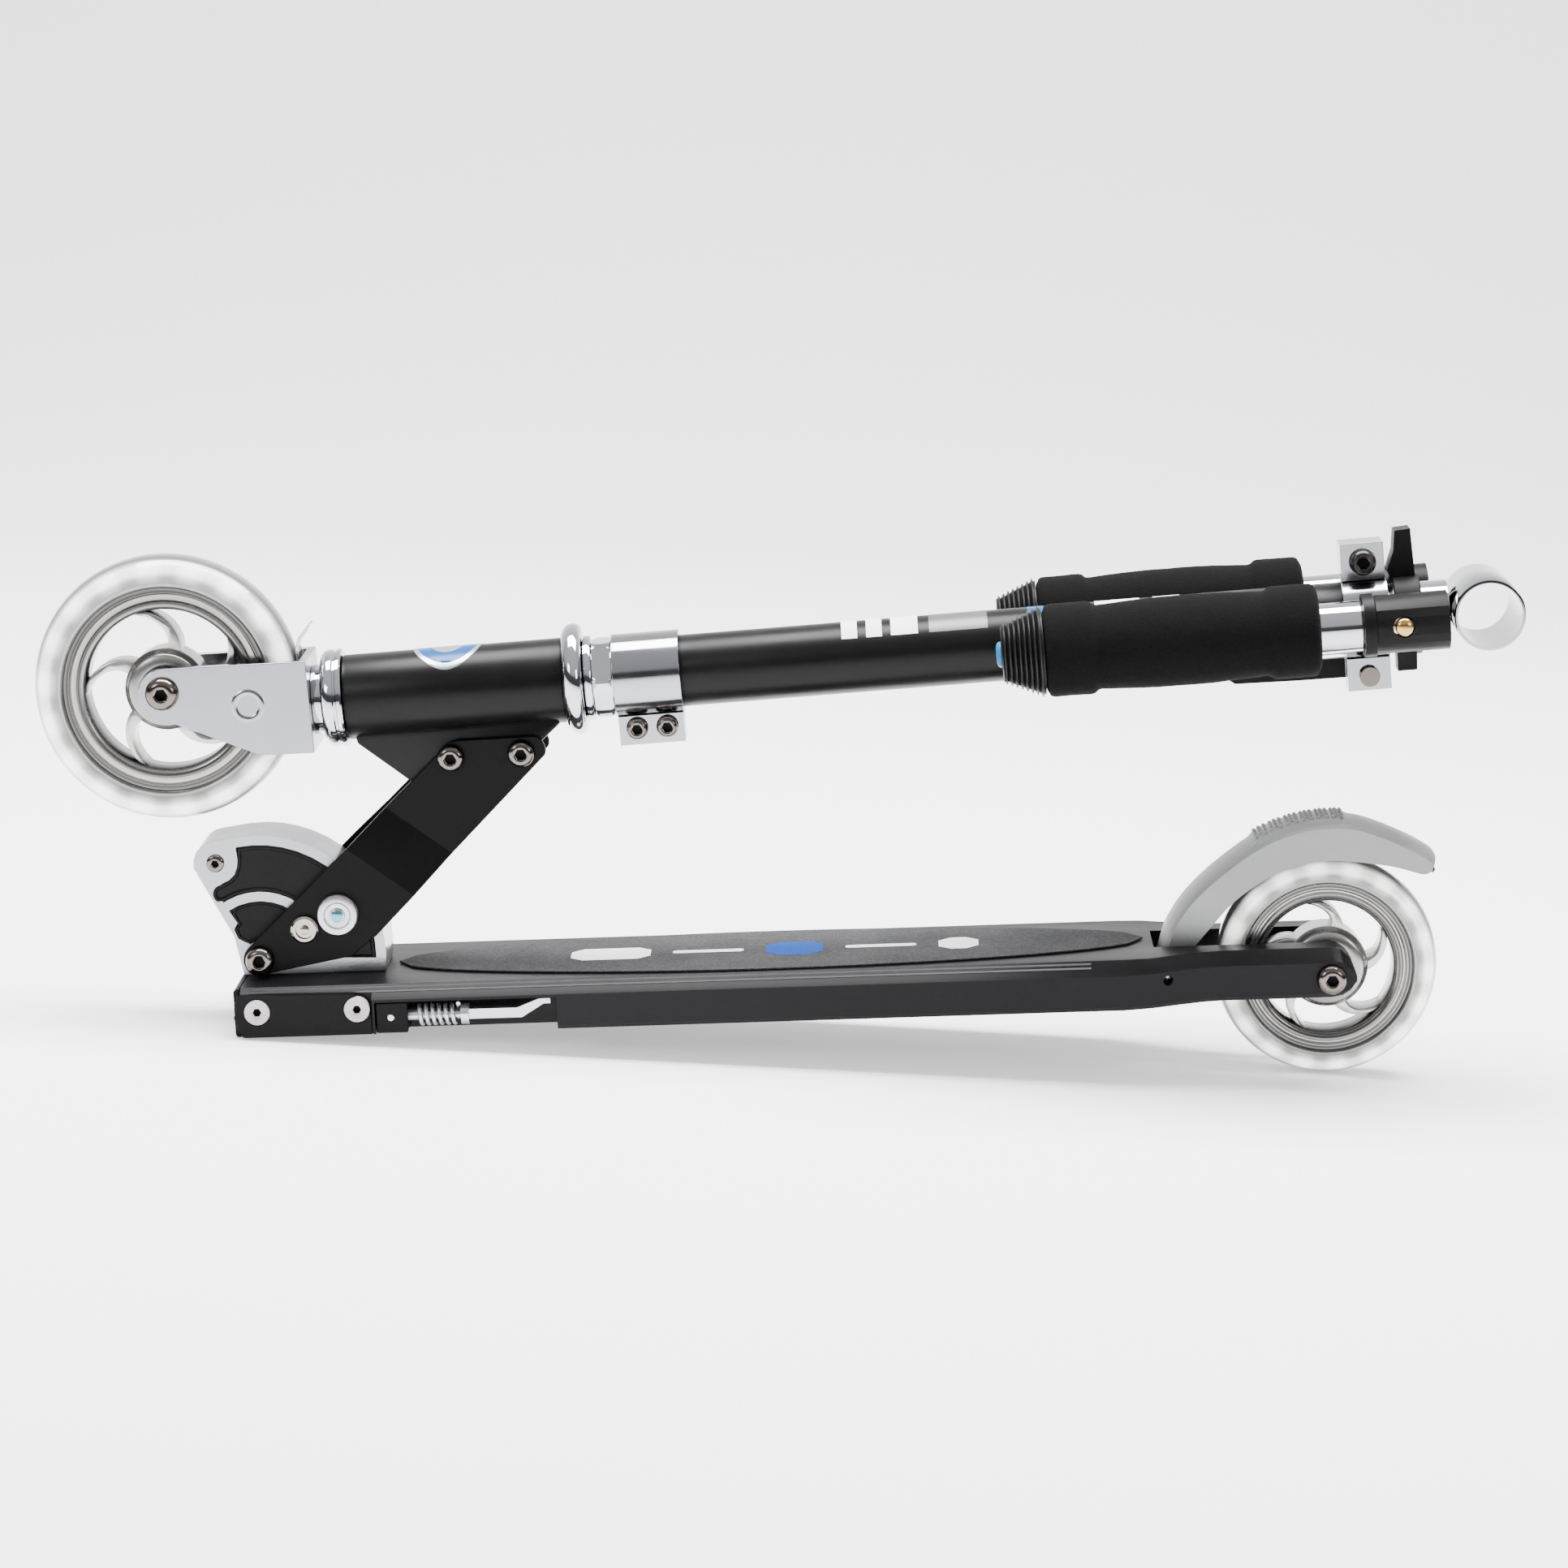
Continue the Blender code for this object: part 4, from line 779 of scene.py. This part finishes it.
nut += [(-23.2, 2.0), (-24.6, 1.9), (-24.8, 1.5), (-24.8, 0)]
stop_at = deck_at @ Matrix.Translation((STOP_STUD[0], 0, STOP_STUD[1]))
nut_steel = surface("nut_bright_steel", (0.30, 0.265, 0.24), 0.18, 1.0, 900, 0.03, 0.15, 0.07)
place("stop_nut_turned", turned(nut, 64, "Y"), stop_at, "head", "bolt_steel", nut_steel, ("stop_nut",))
for number, centre in enumerate(ARM_BOLTS, 1):
    bolt = socket_bolt(12.9, 3.0, 6.2, 4.0, centre, 0.44)
    stands_for = (f"arm_bolt_{number}",)
    place(f"arm_bolt_{number}_domed", bolt, deck_at, "head", "bolt_steel", dark_steel, stands_for)

# ---- Head tube ---------------------------------------------------------------------------------------------
# A black steel tube with its gusset plate welded below, pressed chrome cups at both ends and a plain round
# badge of blue, silver and black rings on top.

HEAD_LENGTH = 98.0
HEAD_RADIUS = 19.0
BADGE_CENTRE = 47.0
tube_black = surface(
    "tube_satin_black", (0.0026, 0.0026, 0.0028), 0.33, 0.0, 1500, 0.05, 0.15, 0.05, shine=0.12
)
chrome = surface("polished_chrome", (0.50, 0.505, 0.535), 0.05, 1.0, 500, 0.01, 0.03, 0.03)


def sleeve(low, high, inner, outer, edge=0.6):
    """The section of a tube with rounded ends."""
    return [
        (low, inner),
        (low, outer - edge),
        (low + 0.3 * edge, outer - 0.3 * edge),
        (low + edge, outer),
        (high - edge, outer),
        (high - 0.3 * edge, outer - 0.3 * edge),
        (high, outer - edge),
        (high, inner),
    ]


def to_column(x, z):
    """A point of the deck frame in the column frame."""
    moved = column_at.inverted() @ (deck_at @ Vector((x, 0, z)))
    return moved.x, moved.z


gusset_points = [(46.5, 100), (47.5, 95.0), (69.4, 77.8), (82, 67.5), (99, 74), (123, 87), (138.5, 101.0)]
gusset_points.append((138, 103))
gusset = prism([to_column(x, z) for x, z in gusset_points], -9.1, 9.1)
bmesh.ops.bevel(
    gusset, geom=gusset.edges[:], offset=0.8, segments=2, profile=0.5, affect="EDGES", material=-1
)
head = gathered([turned(sleeve(0, HEAD_LENGTH, 16.2, HEAD_RADIUS), 96), gusset])
place("head_tube_welded", head, column_at, "head", "black_paint", tube_black, ("head_tube",))
low_cup = [(-9.8, 17), (-9.8, 19.6), (-9.4, 20.4), (-8.2, 21.4), (-6.6, 21.9), (-4.6, 21.9), (-3.9, 21.3)]
low_cup += [(-3.2, 21.3), (-2.6, 21.9), (-1.2, 22.0), (-0.4, 21.4), (-0.3, 17)]
place("lower_cup_pressed", turned(low_cup, 96), column_at, "head", "chrome", chrome, ("lower_cup",))
high_cup = [(98.3, 17), (98.3, 21.6), (98.8, 22.6), (99.8, 23.8), (101.2, 24.7), (102.6, 25.0), (104.0, 25.0)]
high_cup += [(105.4, 24.5), (106.4, 23.6), (107.0, 22.2), (107.0, 17)]
place("upper_cup_pressed", turned(high_cup, 96), column_at, "head", "chrome", chrome, ("upper_cup",))

badge_blue = surface("badge_blue", (0.0, 0.06, 0.20), 0.25, 0.0, 900, 0.02, 0.05, 0.05, shine=0.2)
badge_silver = surface("badge_silver", (0.38, 0.39, 0.41), 0.3, 0.8, 900, 0.03, 0.05, 0.05)


def badge_ring(inner, outer, lift):
    """A ring of the badge, wrapped over the tube."""
    bm = turned([(-0.3, inner), (0.0, inner), (0.0, outer), (-0.3, outer)], 96)
    bmesh.ops.rotate(bm, matrix=Matrix.Rotation(-math.pi / 2, 3, "Y"), verts=bm.verts)
    across = [e for e in bm.edges if abs(e.calc_length() - (outer - inner)) < 0.01]
    bmesh.ops.subdivide_edges(bm, edges=across, cuts=4, use_grid_fill=True)
    for vert in bm.verts:
        radius = HEAD_RADIUS + lift + vert.co.z
        vert.co.z = math.sqrt(max(radius * radius - vert.co.y * vert.co.y, 1.0))
    bmesh.ops.translate(bm, vec=(BADGE_CENTRE, 0, 0), verts=bm.verts)
    return bm


for name, inner, outer, lift, look in (
    ("badge_rim", 13.2, 15.2, 0.30, badge_silver),
    ("badge_field", 7.0, 13.1, 0.25, badge_blue),
    ("badge_middle", 0.4, 6.9, 0.30, badge_silver),
):
    place(name, badge_ring(inner, outer, lift), column_at, "head", "chrome", look, (), 0, 50)

# ---- Fork and headset --------------------------------------------------------------------------------------
# The fork is one bent steel plate, satin nickel, welded to a chromed steerer, with a small bent tab at its
# crown. Above the upper cup a lock ring and a hexagon nut hold the headset.

fork_nickel = surface("fork_satin_nickel", (0.28, 0.285, 0.31), 0.20, 1.0, 700, 0.04, 0.04, 0.08)
dressed("fork", "steering", fork_nickel, 0.8)
for side, word in ((-1, "left"), (1, "right")):
    dimple = [(20.55, 4.6), (20.75, 5.0), (21.0, 5.6), (21.0, 6.6), (20.75, 7.2), (20.55, 7.6)]
    ring = turned([(side * along, radius) for along, radius in dimple], 64, "Y", (-42.0, 0, 3.0))
    place(f"fork_ring_{word}", ring, column_at, "steering", "cast_aluminium", fork_nickel, (), 0, 50)
lip = [(-20.4, 17.0), (-19.0, 17.0), (-19.0, 24.0), (-17.6, 28.4), (-14.4, 31.6), (-12.6, 34.8)]
lip += [(-13.6, 35.2), (-15.4, 32.8), (-18.9, 29.2), (-20.4, 24.4)]
tab = prism(lip, -6.0, 6.0)
place("crown_tab_bent", tab, column_at, "steering", "chrome", chrome, (), 0.3)
steerer = [(-14.3, 11.5), (-14.3, 15.4), (-13.4, 15.6), (-10.4, 15.6), (-10.1, 15.2), (-10.1, 13.8)]
steerer += [(151.0, 13.8), (151.0, 11.5)]
place("steerer_chromed", turned(steerer, 72), column_at, "steering", "chrome", chrome, ("steerer_tube",))
ring = [(107.3, 14.2), (107.3, 17.8), (107.8, 18.8), (108.6, 19.0), (110.0, 19.0), (110.8, 18.6)]
ring += [(111.1, 17.8), (111.1, 14.2)]
place("lock_ring_turned", turned(ring, 72), column_at, "steering", "chrome", chrome, ("lock_ring",))


def hexagon_nut(low, high, bore_radius, corner):
    """A hexagon nut with turned corners: a round blank pressed to six flats between its chamfers."""
    edge = corner * 0.92
    section = [(low, bore_radius), (low, edge), (low + 1.3, corner), (high - 1.3, corner), (high, edge)]
    section.append((high, bore_radius))
    bm = turned(section, 96)
    flat = corner * math.cos(math.pi / 6)
    for vert in bm.verts:
        reach = math.hypot(vert.co.y, vert.co.z)
        if reach < bore_radius + 0.5:
            continue
        turn = math.atan2(vert.co.z, vert.co.y) % (math.pi / 3) - math.pi / 6
        limit = min(flat / math.cos(turn), reach)
        vert.co.y *= limit / reach
        vert.co.z *= limit / reach
    return bm


headset = hexagon_nut(111.5, 119.7, 14.2, 19.0)
place("headset_nut_turned", headset, column_at, "steering", "chrome", chrome, ("headset_nut",), 0, 25)

# ---- Column and clamps -------------------------------------------------------------------------------------
# The outer tube is black and carries plain printed bands. A chromed clamp with two socket screws grips the
# steerer, and another at the top grips the sliding inner tube, with a bolt above and the quick release below.

LOWER_SCREWS = (128.8, 142.3)
UPPER_BOLT = (455.0, 25.5)
TUBE_RADIUS = 16.0
outer_tube = turned(sleeve(123.0, 464.5, 14.1, TUBE_RADIUS, 0.5), 96)
place("column_tube_coated", outer_tube, column_at, "steering", "black_paint", tube_black, ("column_tube",))
satin_chrome = surface("satin_chrome", (0.31, 0.315, 0.335), 0.12, 1.0, 700, 0.03, 0.04, 0.05)
for node in ("lower_clamp", "upper_clamp"):
    dressed(node, "steering", satin_chrome, 0.5)
for number, along in enumerate(LOWER_SCREWS, 1):
    screw = socket_bolt(8.4, 2.5, 5.0, 4.2, (along, -23.0), 0.5)
    place(
        f"clamp_screw_{number}", screw, column_at, "steering", "bolt_steel", dark_steel,
        (f"lower_clamp_screw_{number}",),
    )
top_bolt = socket_bolt(8.4, 3.0, 6.0, 4.6, UPPER_BOLT, 0.5)
black_steel = surface("blacked_steel", (0.035, 0.032, 0.03), 0.28, 0.9, 900, 0.03, 0.15, 0.07)
place("upper_clamp_screw", top_bolt, column_at, "steering", "bolt_steel", black_steel, ("upper_clamp_bolt",))
dressed("quick_release_pin", "steering", dark_steel, 0.3)
dressed("quick_release_lever", "lever", cap_black, 0.9)

tape_grey = surface("printed_grey", (0.07, 0.07, 0.073), 0.35, 0.2, 900, 0.03, 0.05, 0.05)


def band(start, length, first, last, radius):
    """A printed band on the tube: a short line turned through part of a circle, with a little thickness."""
    bm = bmesh.new()
    low, high = Vector((start, 0, radius)), Vector((start + length, 0, radius))
    thick = Vector((0, 0, 0.12))
    face = bm.faces.new([bm.verts.new(p) for p in (low, high, high + thick, low + thick)])
    bmesh.ops.rotate(bm, matrix=Matrix.Rotation(math.radians(first), 3, "X"), verts=bm.verts)
    bmesh.ops.spin(
        bm, geom=[face] + list(face.edges), cent=(0, 0, 0), axis=(1, 0, 0),
        angle=math.radians(last - first), steps=24,
    )
    bmesh.ops.remove_doubles(bm, verts=bm.verts, dist=0.001)
    return bm


for number, (start, length, ink) in enumerate(
    (
        (223.0, 7.0, print_white),
        (234.0, 7.0, print_white),
        (245.0, 12.0, print_white),
        (262.0, 26.0, tape_grey),
        (306.0, 7.0, badge_blue),
        (318.0, 12.0, print_white),
        (336.0, 20.0, print_white),
        (362.0, 12.0, print_white),
    ),
    1,
):
    strip = band(start, length, -14.0, 50.0, TUBE_RADIUS)
    place(f"column_band_{number}", strip, column_at, "steering", "black_paint", ink, (), 0, 50)

# ---- Inner tube, T-tube and holder -------------------------------------------------------------------------
# The sliding inner tube and the T-tube on its end are polished. A black moulded holder is clipped below the
# T: its wing is pressed with the thumb, and its two sockets hold the handles beside the column.

T_CENTRE = 507.9
inner = turned(sleeve(300.0, T_CENTRE - 16.05, 11.6, 13.6, 0.4), 96)
place("inner_tube_polished", inner, column_at, "inner_column", "chrome", chrome, ("inner_tube",))
t_section = sleeve(-25.0, 25.0, 14.25, 15.75, 0.4)
t_tube = turned(t_section, 128, "Y", (T_CENTRE, 0, 0))
t_chrome = surface("t_tube_chrome", (0.30, 0.303, 0.32), 0.06, 1.0, 500, 0.01, 0.03, 0.03)
place("t_tube_polished", t_tube, column_at, "inner_column", "chrome", t_chrome, ("t_tube",))
dressed("handle_holder", "inner_column", cap_black, 0.5)

# ---- Handles -----------------------------------------------------------------------------------------------
# Two detachable handles: a chromed bar with a brass snap button, a soft foam grip with raised ends, a ribbed
# rubber cap and a sky-blue plug. The foam is skived from closed-cell tube, so its skin is open and matt.

HANDLE_Y = 40.5
HANDLE_DROP = 2.5
GRIP_START = 311.5
GRIP_END = 431.3
BAR_END = 483.0
BUTTON_AT = 467.5
foam_black = surface("grip_foam", (0.0030, 0.0030, 0.0032), 0.95, 0.0, 1100, 1.0, 0.45, 0.05)
foam_shader = foam_black.node_tree.nodes["Principled BSDF"]
foam_shader.inputs["Sheen Weight"].default_value = 0.01
foam_shader.inputs["Specular IOR Level"].default_value = 0.05
rubber = surface("cap_rubber", (0.0028, 0.0028, 0.003), 0.42, 0.0, 1300, 0.12, 0.2, 0.06, shine=0.2)
plug_blue = surface("plug_blue", (0.0, 0.13, 0.32), 0.35, 0.0, 900, 0.03, 0.05, 0.05, shine=0.2)
brass = surface("button_brass", (0.50, 0.31, 0.10), 0.2, 1.0, 900, 0.02, 0.06, 0.05)


def foam_profile():
    """Radius of the foam along the grip: raised rolls at both ends and a slight barrel between them."""
    length = GRIP_END - GRIP_START
    points = []
    for step in range(81):
        t = step / 80
        along = GRIP_START + length * t
        from_end = min(t, 1 - t) * length
        roll = 1.0 if from_end < 20 else max(1 - (from_end - 20) / 3.5, 0.0)
        roll = roll * roll * (3 - 2 * roll)
        barrel = 15.8 + 4.1 * math.sin(math.pi * t) ** 0.8
        edge = 3.4 * (1 - math.sqrt(max(1 - (1 - min(from_end / 3.6, 1.0)) ** 2, 0.0)))
        points.append((along, barrel + (20.5 - barrel) * roll - edge))
    return points


for side, word in ((-1, "left"), (1, "right")):
    handle_at = column_at @ Matrix.Translation((0, side * HANDLE_Y, HANDLE_DROP))
    body = "inner_column"
    bar = turned(sleeve(GRIP_START - 14, BAR_END, 9.3, 11.1, 0.5), 72)
    place(f"bar_{word}_chromed", bar, handle_at, body, "chrome", chrome, (f"handle_bar_{word}",))
    foam = turned([(GRIP_START, 11.4)] + foam_profile() + [(GRIP_END, 11.4)], 112)
    for vert in foam.verts:
        reach = math.hypot(vert.co.y, vert.co.z)
        if reach > 14:
            seed = Vector((vert.co.x * 0.09, vert.co.y * 0.09, vert.co.z * 0.09 + 5 * side))
            pores = Vector((vert.co.x * 0.9, vert.co.y * 0.9, vert.co.z * 0.9 + 9 * side))
            swell = 1 + (0.22 * noise.noise(seed) + 0.07 * noise.noise(pores) - 0.15) / reach
            vert.co.y *= swell
            vert.co.z *= swell
    stands_for = (f"foam_grip_{word}",)
    grip = place(f"grip_{word}_foam", foam, handle_at, body, "grip_foam", foam_black, stands_for, 0, 50)
    cap = [(-18.6, 0), (-18.6, 11.5), (-18.2, 12.4)]
    for rib in range(8):
        low, crest = -17.8 + 2.2 * rib, 13.3 + 0.95 * rib
        cap += [(low, crest - 1.2), (low + 0.25, crest - 0.2), (low + 0.6, crest), (low + 1.0, crest - 0.2)]
        cap += [(low + 1.25, crest - 1.2)]
    cap += [(-0.3, 19.0), (-0.3, 11.4), (-14.4, 11.4), (-14.4, 0)]
    rubber_cap = turned(cap, 80, centre=(GRIP_START, 0, 0))
    place(f"cap_{word}_ribbed", rubber_cap, handle_at, body, "rubber", rubber, (f"grip_cap_{word}",), 0, 40)
    plug = [(-21.1, 0), (-21.0, 3.4), (-20.4, 5.0), (-19.6, 5.6), (-18.8, 5.7), (-18.8, 0)]
    end_plug = turned(plug, 64, centre=(GRIP_START, 0, 0))
    stands_for = (f"end_plug_{word}",)
    place(f"plug_{word}_blue", end_plug, handle_at, body, "blue_plastic", plug_blue, stands_for, 0, 50)
    dome = [(5.2, 0), (5.2, 5.0), (6.2, 5.0), (6.2, 4.0), (12.9, 4.0), (13.3, 3.95)]
    for step in range(1, 7):
        turn = math.pi / 2 * step / 6
        dome.append((13.3 + 1.85 * math.sin(turn), 3.95 * math.cos(turn) if step < 6 else 0.0))
    button_at = handle_at @ Matrix.Translation((BUTTON_AT, 0, 0))
    button = turned([(side * along, radius) for along, radius in dome], 48, "Y")
    stands_for = (f"snap_button_{word}",)
    place(f"button_{word}_brass", button, button_at, f"button_{word}", "brass", brass, stands_for, 0, 50)

# ---- Stage, light and camera -------------------------------------------------------------------------------
# A pale seamless floor that curves up behind, wide soft lights above and to both sides, and a long lens on
# the scooter's left side that looks a little down at it.

STAGE_HALF = 8.0
STAGE_BACK = 1.6
SWEEP = 1.2
floor_look = surface("stage_pale", (0.80, 0.80, 0.80), 0.9, 0.0, 40, 0.0, 0.004, 0.02, shine=0.1)
floor_shader = floor_look.node_tree.nodes["Principled BSDF"]
floor_shader.inputs["Emission Color"].default_value = (1, 1, 1, 1)
floor_shader.inputs["Emission Strength"].default_value = 0.6
stage_mesh = bmesh.new()
sweep_line = [(-6.0, 0.0), (STAGE_BACK, 0.0)] + arc(SWEEP, -90 + 90 / 16, 0, 16, (STAGE_BACK, SWEEP))
sweep_line.append((STAGE_BACK + SWEEP, 6.0))
line = [stage_mesh.verts.new((-STAGE_HALF, y, z)) for y, z in sweep_line]
line_edges = [stage_mesh.edges.new(pair) for pair in zip(line, line[1:])]
grown = bmesh.ops.extrude_edge_only(stage_mesh, edges=line_edges)["geom"]
moved = [v for v in grown if isinstance(v, bmesh.types.BMVert)]
bmesh.ops.translate(stage_mesh, vec=(2 * STAGE_HALF, 0, 0), verts=moved)
bmesh.ops.recalc_face_normals(stage_mesh, faces=stage_mesh.faces)
backdrop = bpy.data.meshes.new("stage")
stage_mesh.to_mesh(backdrop)
stage_mesh.free()
backdrop.shade_smooth()
backdrop.materials.append(floor_look)
stage = bpy.data.objects.new("stage", backdrop)
bpy.context.scene.collection.objects.link(stage)


def soft_light(name, where, aim, size, power):
    """A rectangular lamp that faces a point."""
    lamp = bpy.data.lights.new(name, "AREA")
    lamp.shape = "RECTANGLE"
    lamp.size, lamp.size_y = size
    lamp.energy = power
    light = bpy.data.objects.new(name, lamp)
    light.location = where
    light.rotation_euler = (Vector(aim) - Vector(where)).to_track_quat("-Z", "Y").to_euler()
    bpy.context.scene.collection.objects.link(light)


soft_light("overhead", (0.0, 0.2, 1.9), (0, 0, 0.1), (2.2, 0.9), 250)
soft_light("front_left", (-1.7, -1.9, 1.3), (0, 0, 0.12), (0.9, 0.7), 22)
soft_light("front_right", (1.8, -1.7, 1.1), (0, 0, 0.12), (0.8, 0.7), 16)

world = bpy.data.worlds.new("studio")
bpy.context.scene.world = world
world.use_nodes = True
sky = world.node_tree
direction = sky.nodes.new("ShaderNodeTexCoord")
height = sky.nodes.new("ShaderNodeSeparateXYZ")
shade = sky.nodes.new("ShaderNodeValToRGB")
sky.links.new(direction.outputs["Generated"], height.inputs["Vector"])
sky.links.new(height.outputs["Z"], shade.inputs["Fac"])
tones = shade.color_ramp.elements
tones[0].position, tones[0].color = 0.0, (0.10, 0.10, 0.105, 1)
tones[1].position, tones[1].color = 1.0, (1.0, 1.0, 1.0, 1)
tones.new(0.22).color = (0.12, 0.12, 0.125, 1)
tones.new(0.34).color = (0.75, 0.76, 0.78, 1)
sky.links.new(shade.outputs["Color"], sky.nodes["Background"].inputs["Color"])
sky.nodes["Background"].inputs["Strength"].default_value = 1.0

lens = bpy.data.cameras.new("camera")
lens.sensor_width = 36.0
lens.lens = 109.0
lens.clip_start = 0.05
camera = bpy.data.objects.new("camera", lens)
bpy.context.scene.collection.objects.link(camera)
CAMERA_PLACE = (0.0352, -2.0905, 0.5256)
CAMERA_YAW, CAMERA_DOWN, CAMERA_ROLL = -0.758, 11.0, 2.801
look_along = Matrix.Rotation(-math.radians(CAMERA_YAW), 4, "Z")
tip = Matrix.Rotation(math.radians(90 - CAMERA_DOWN), 4, "X")
roll = Matrix.Rotation(math.radians(CAMERA_ROLL), 4, "Z")
camera.matrix_world = Matrix.Translation(CAMERA_PLACE) @ look_along @ tip @ roll
bpy.context.scene.camera = camera
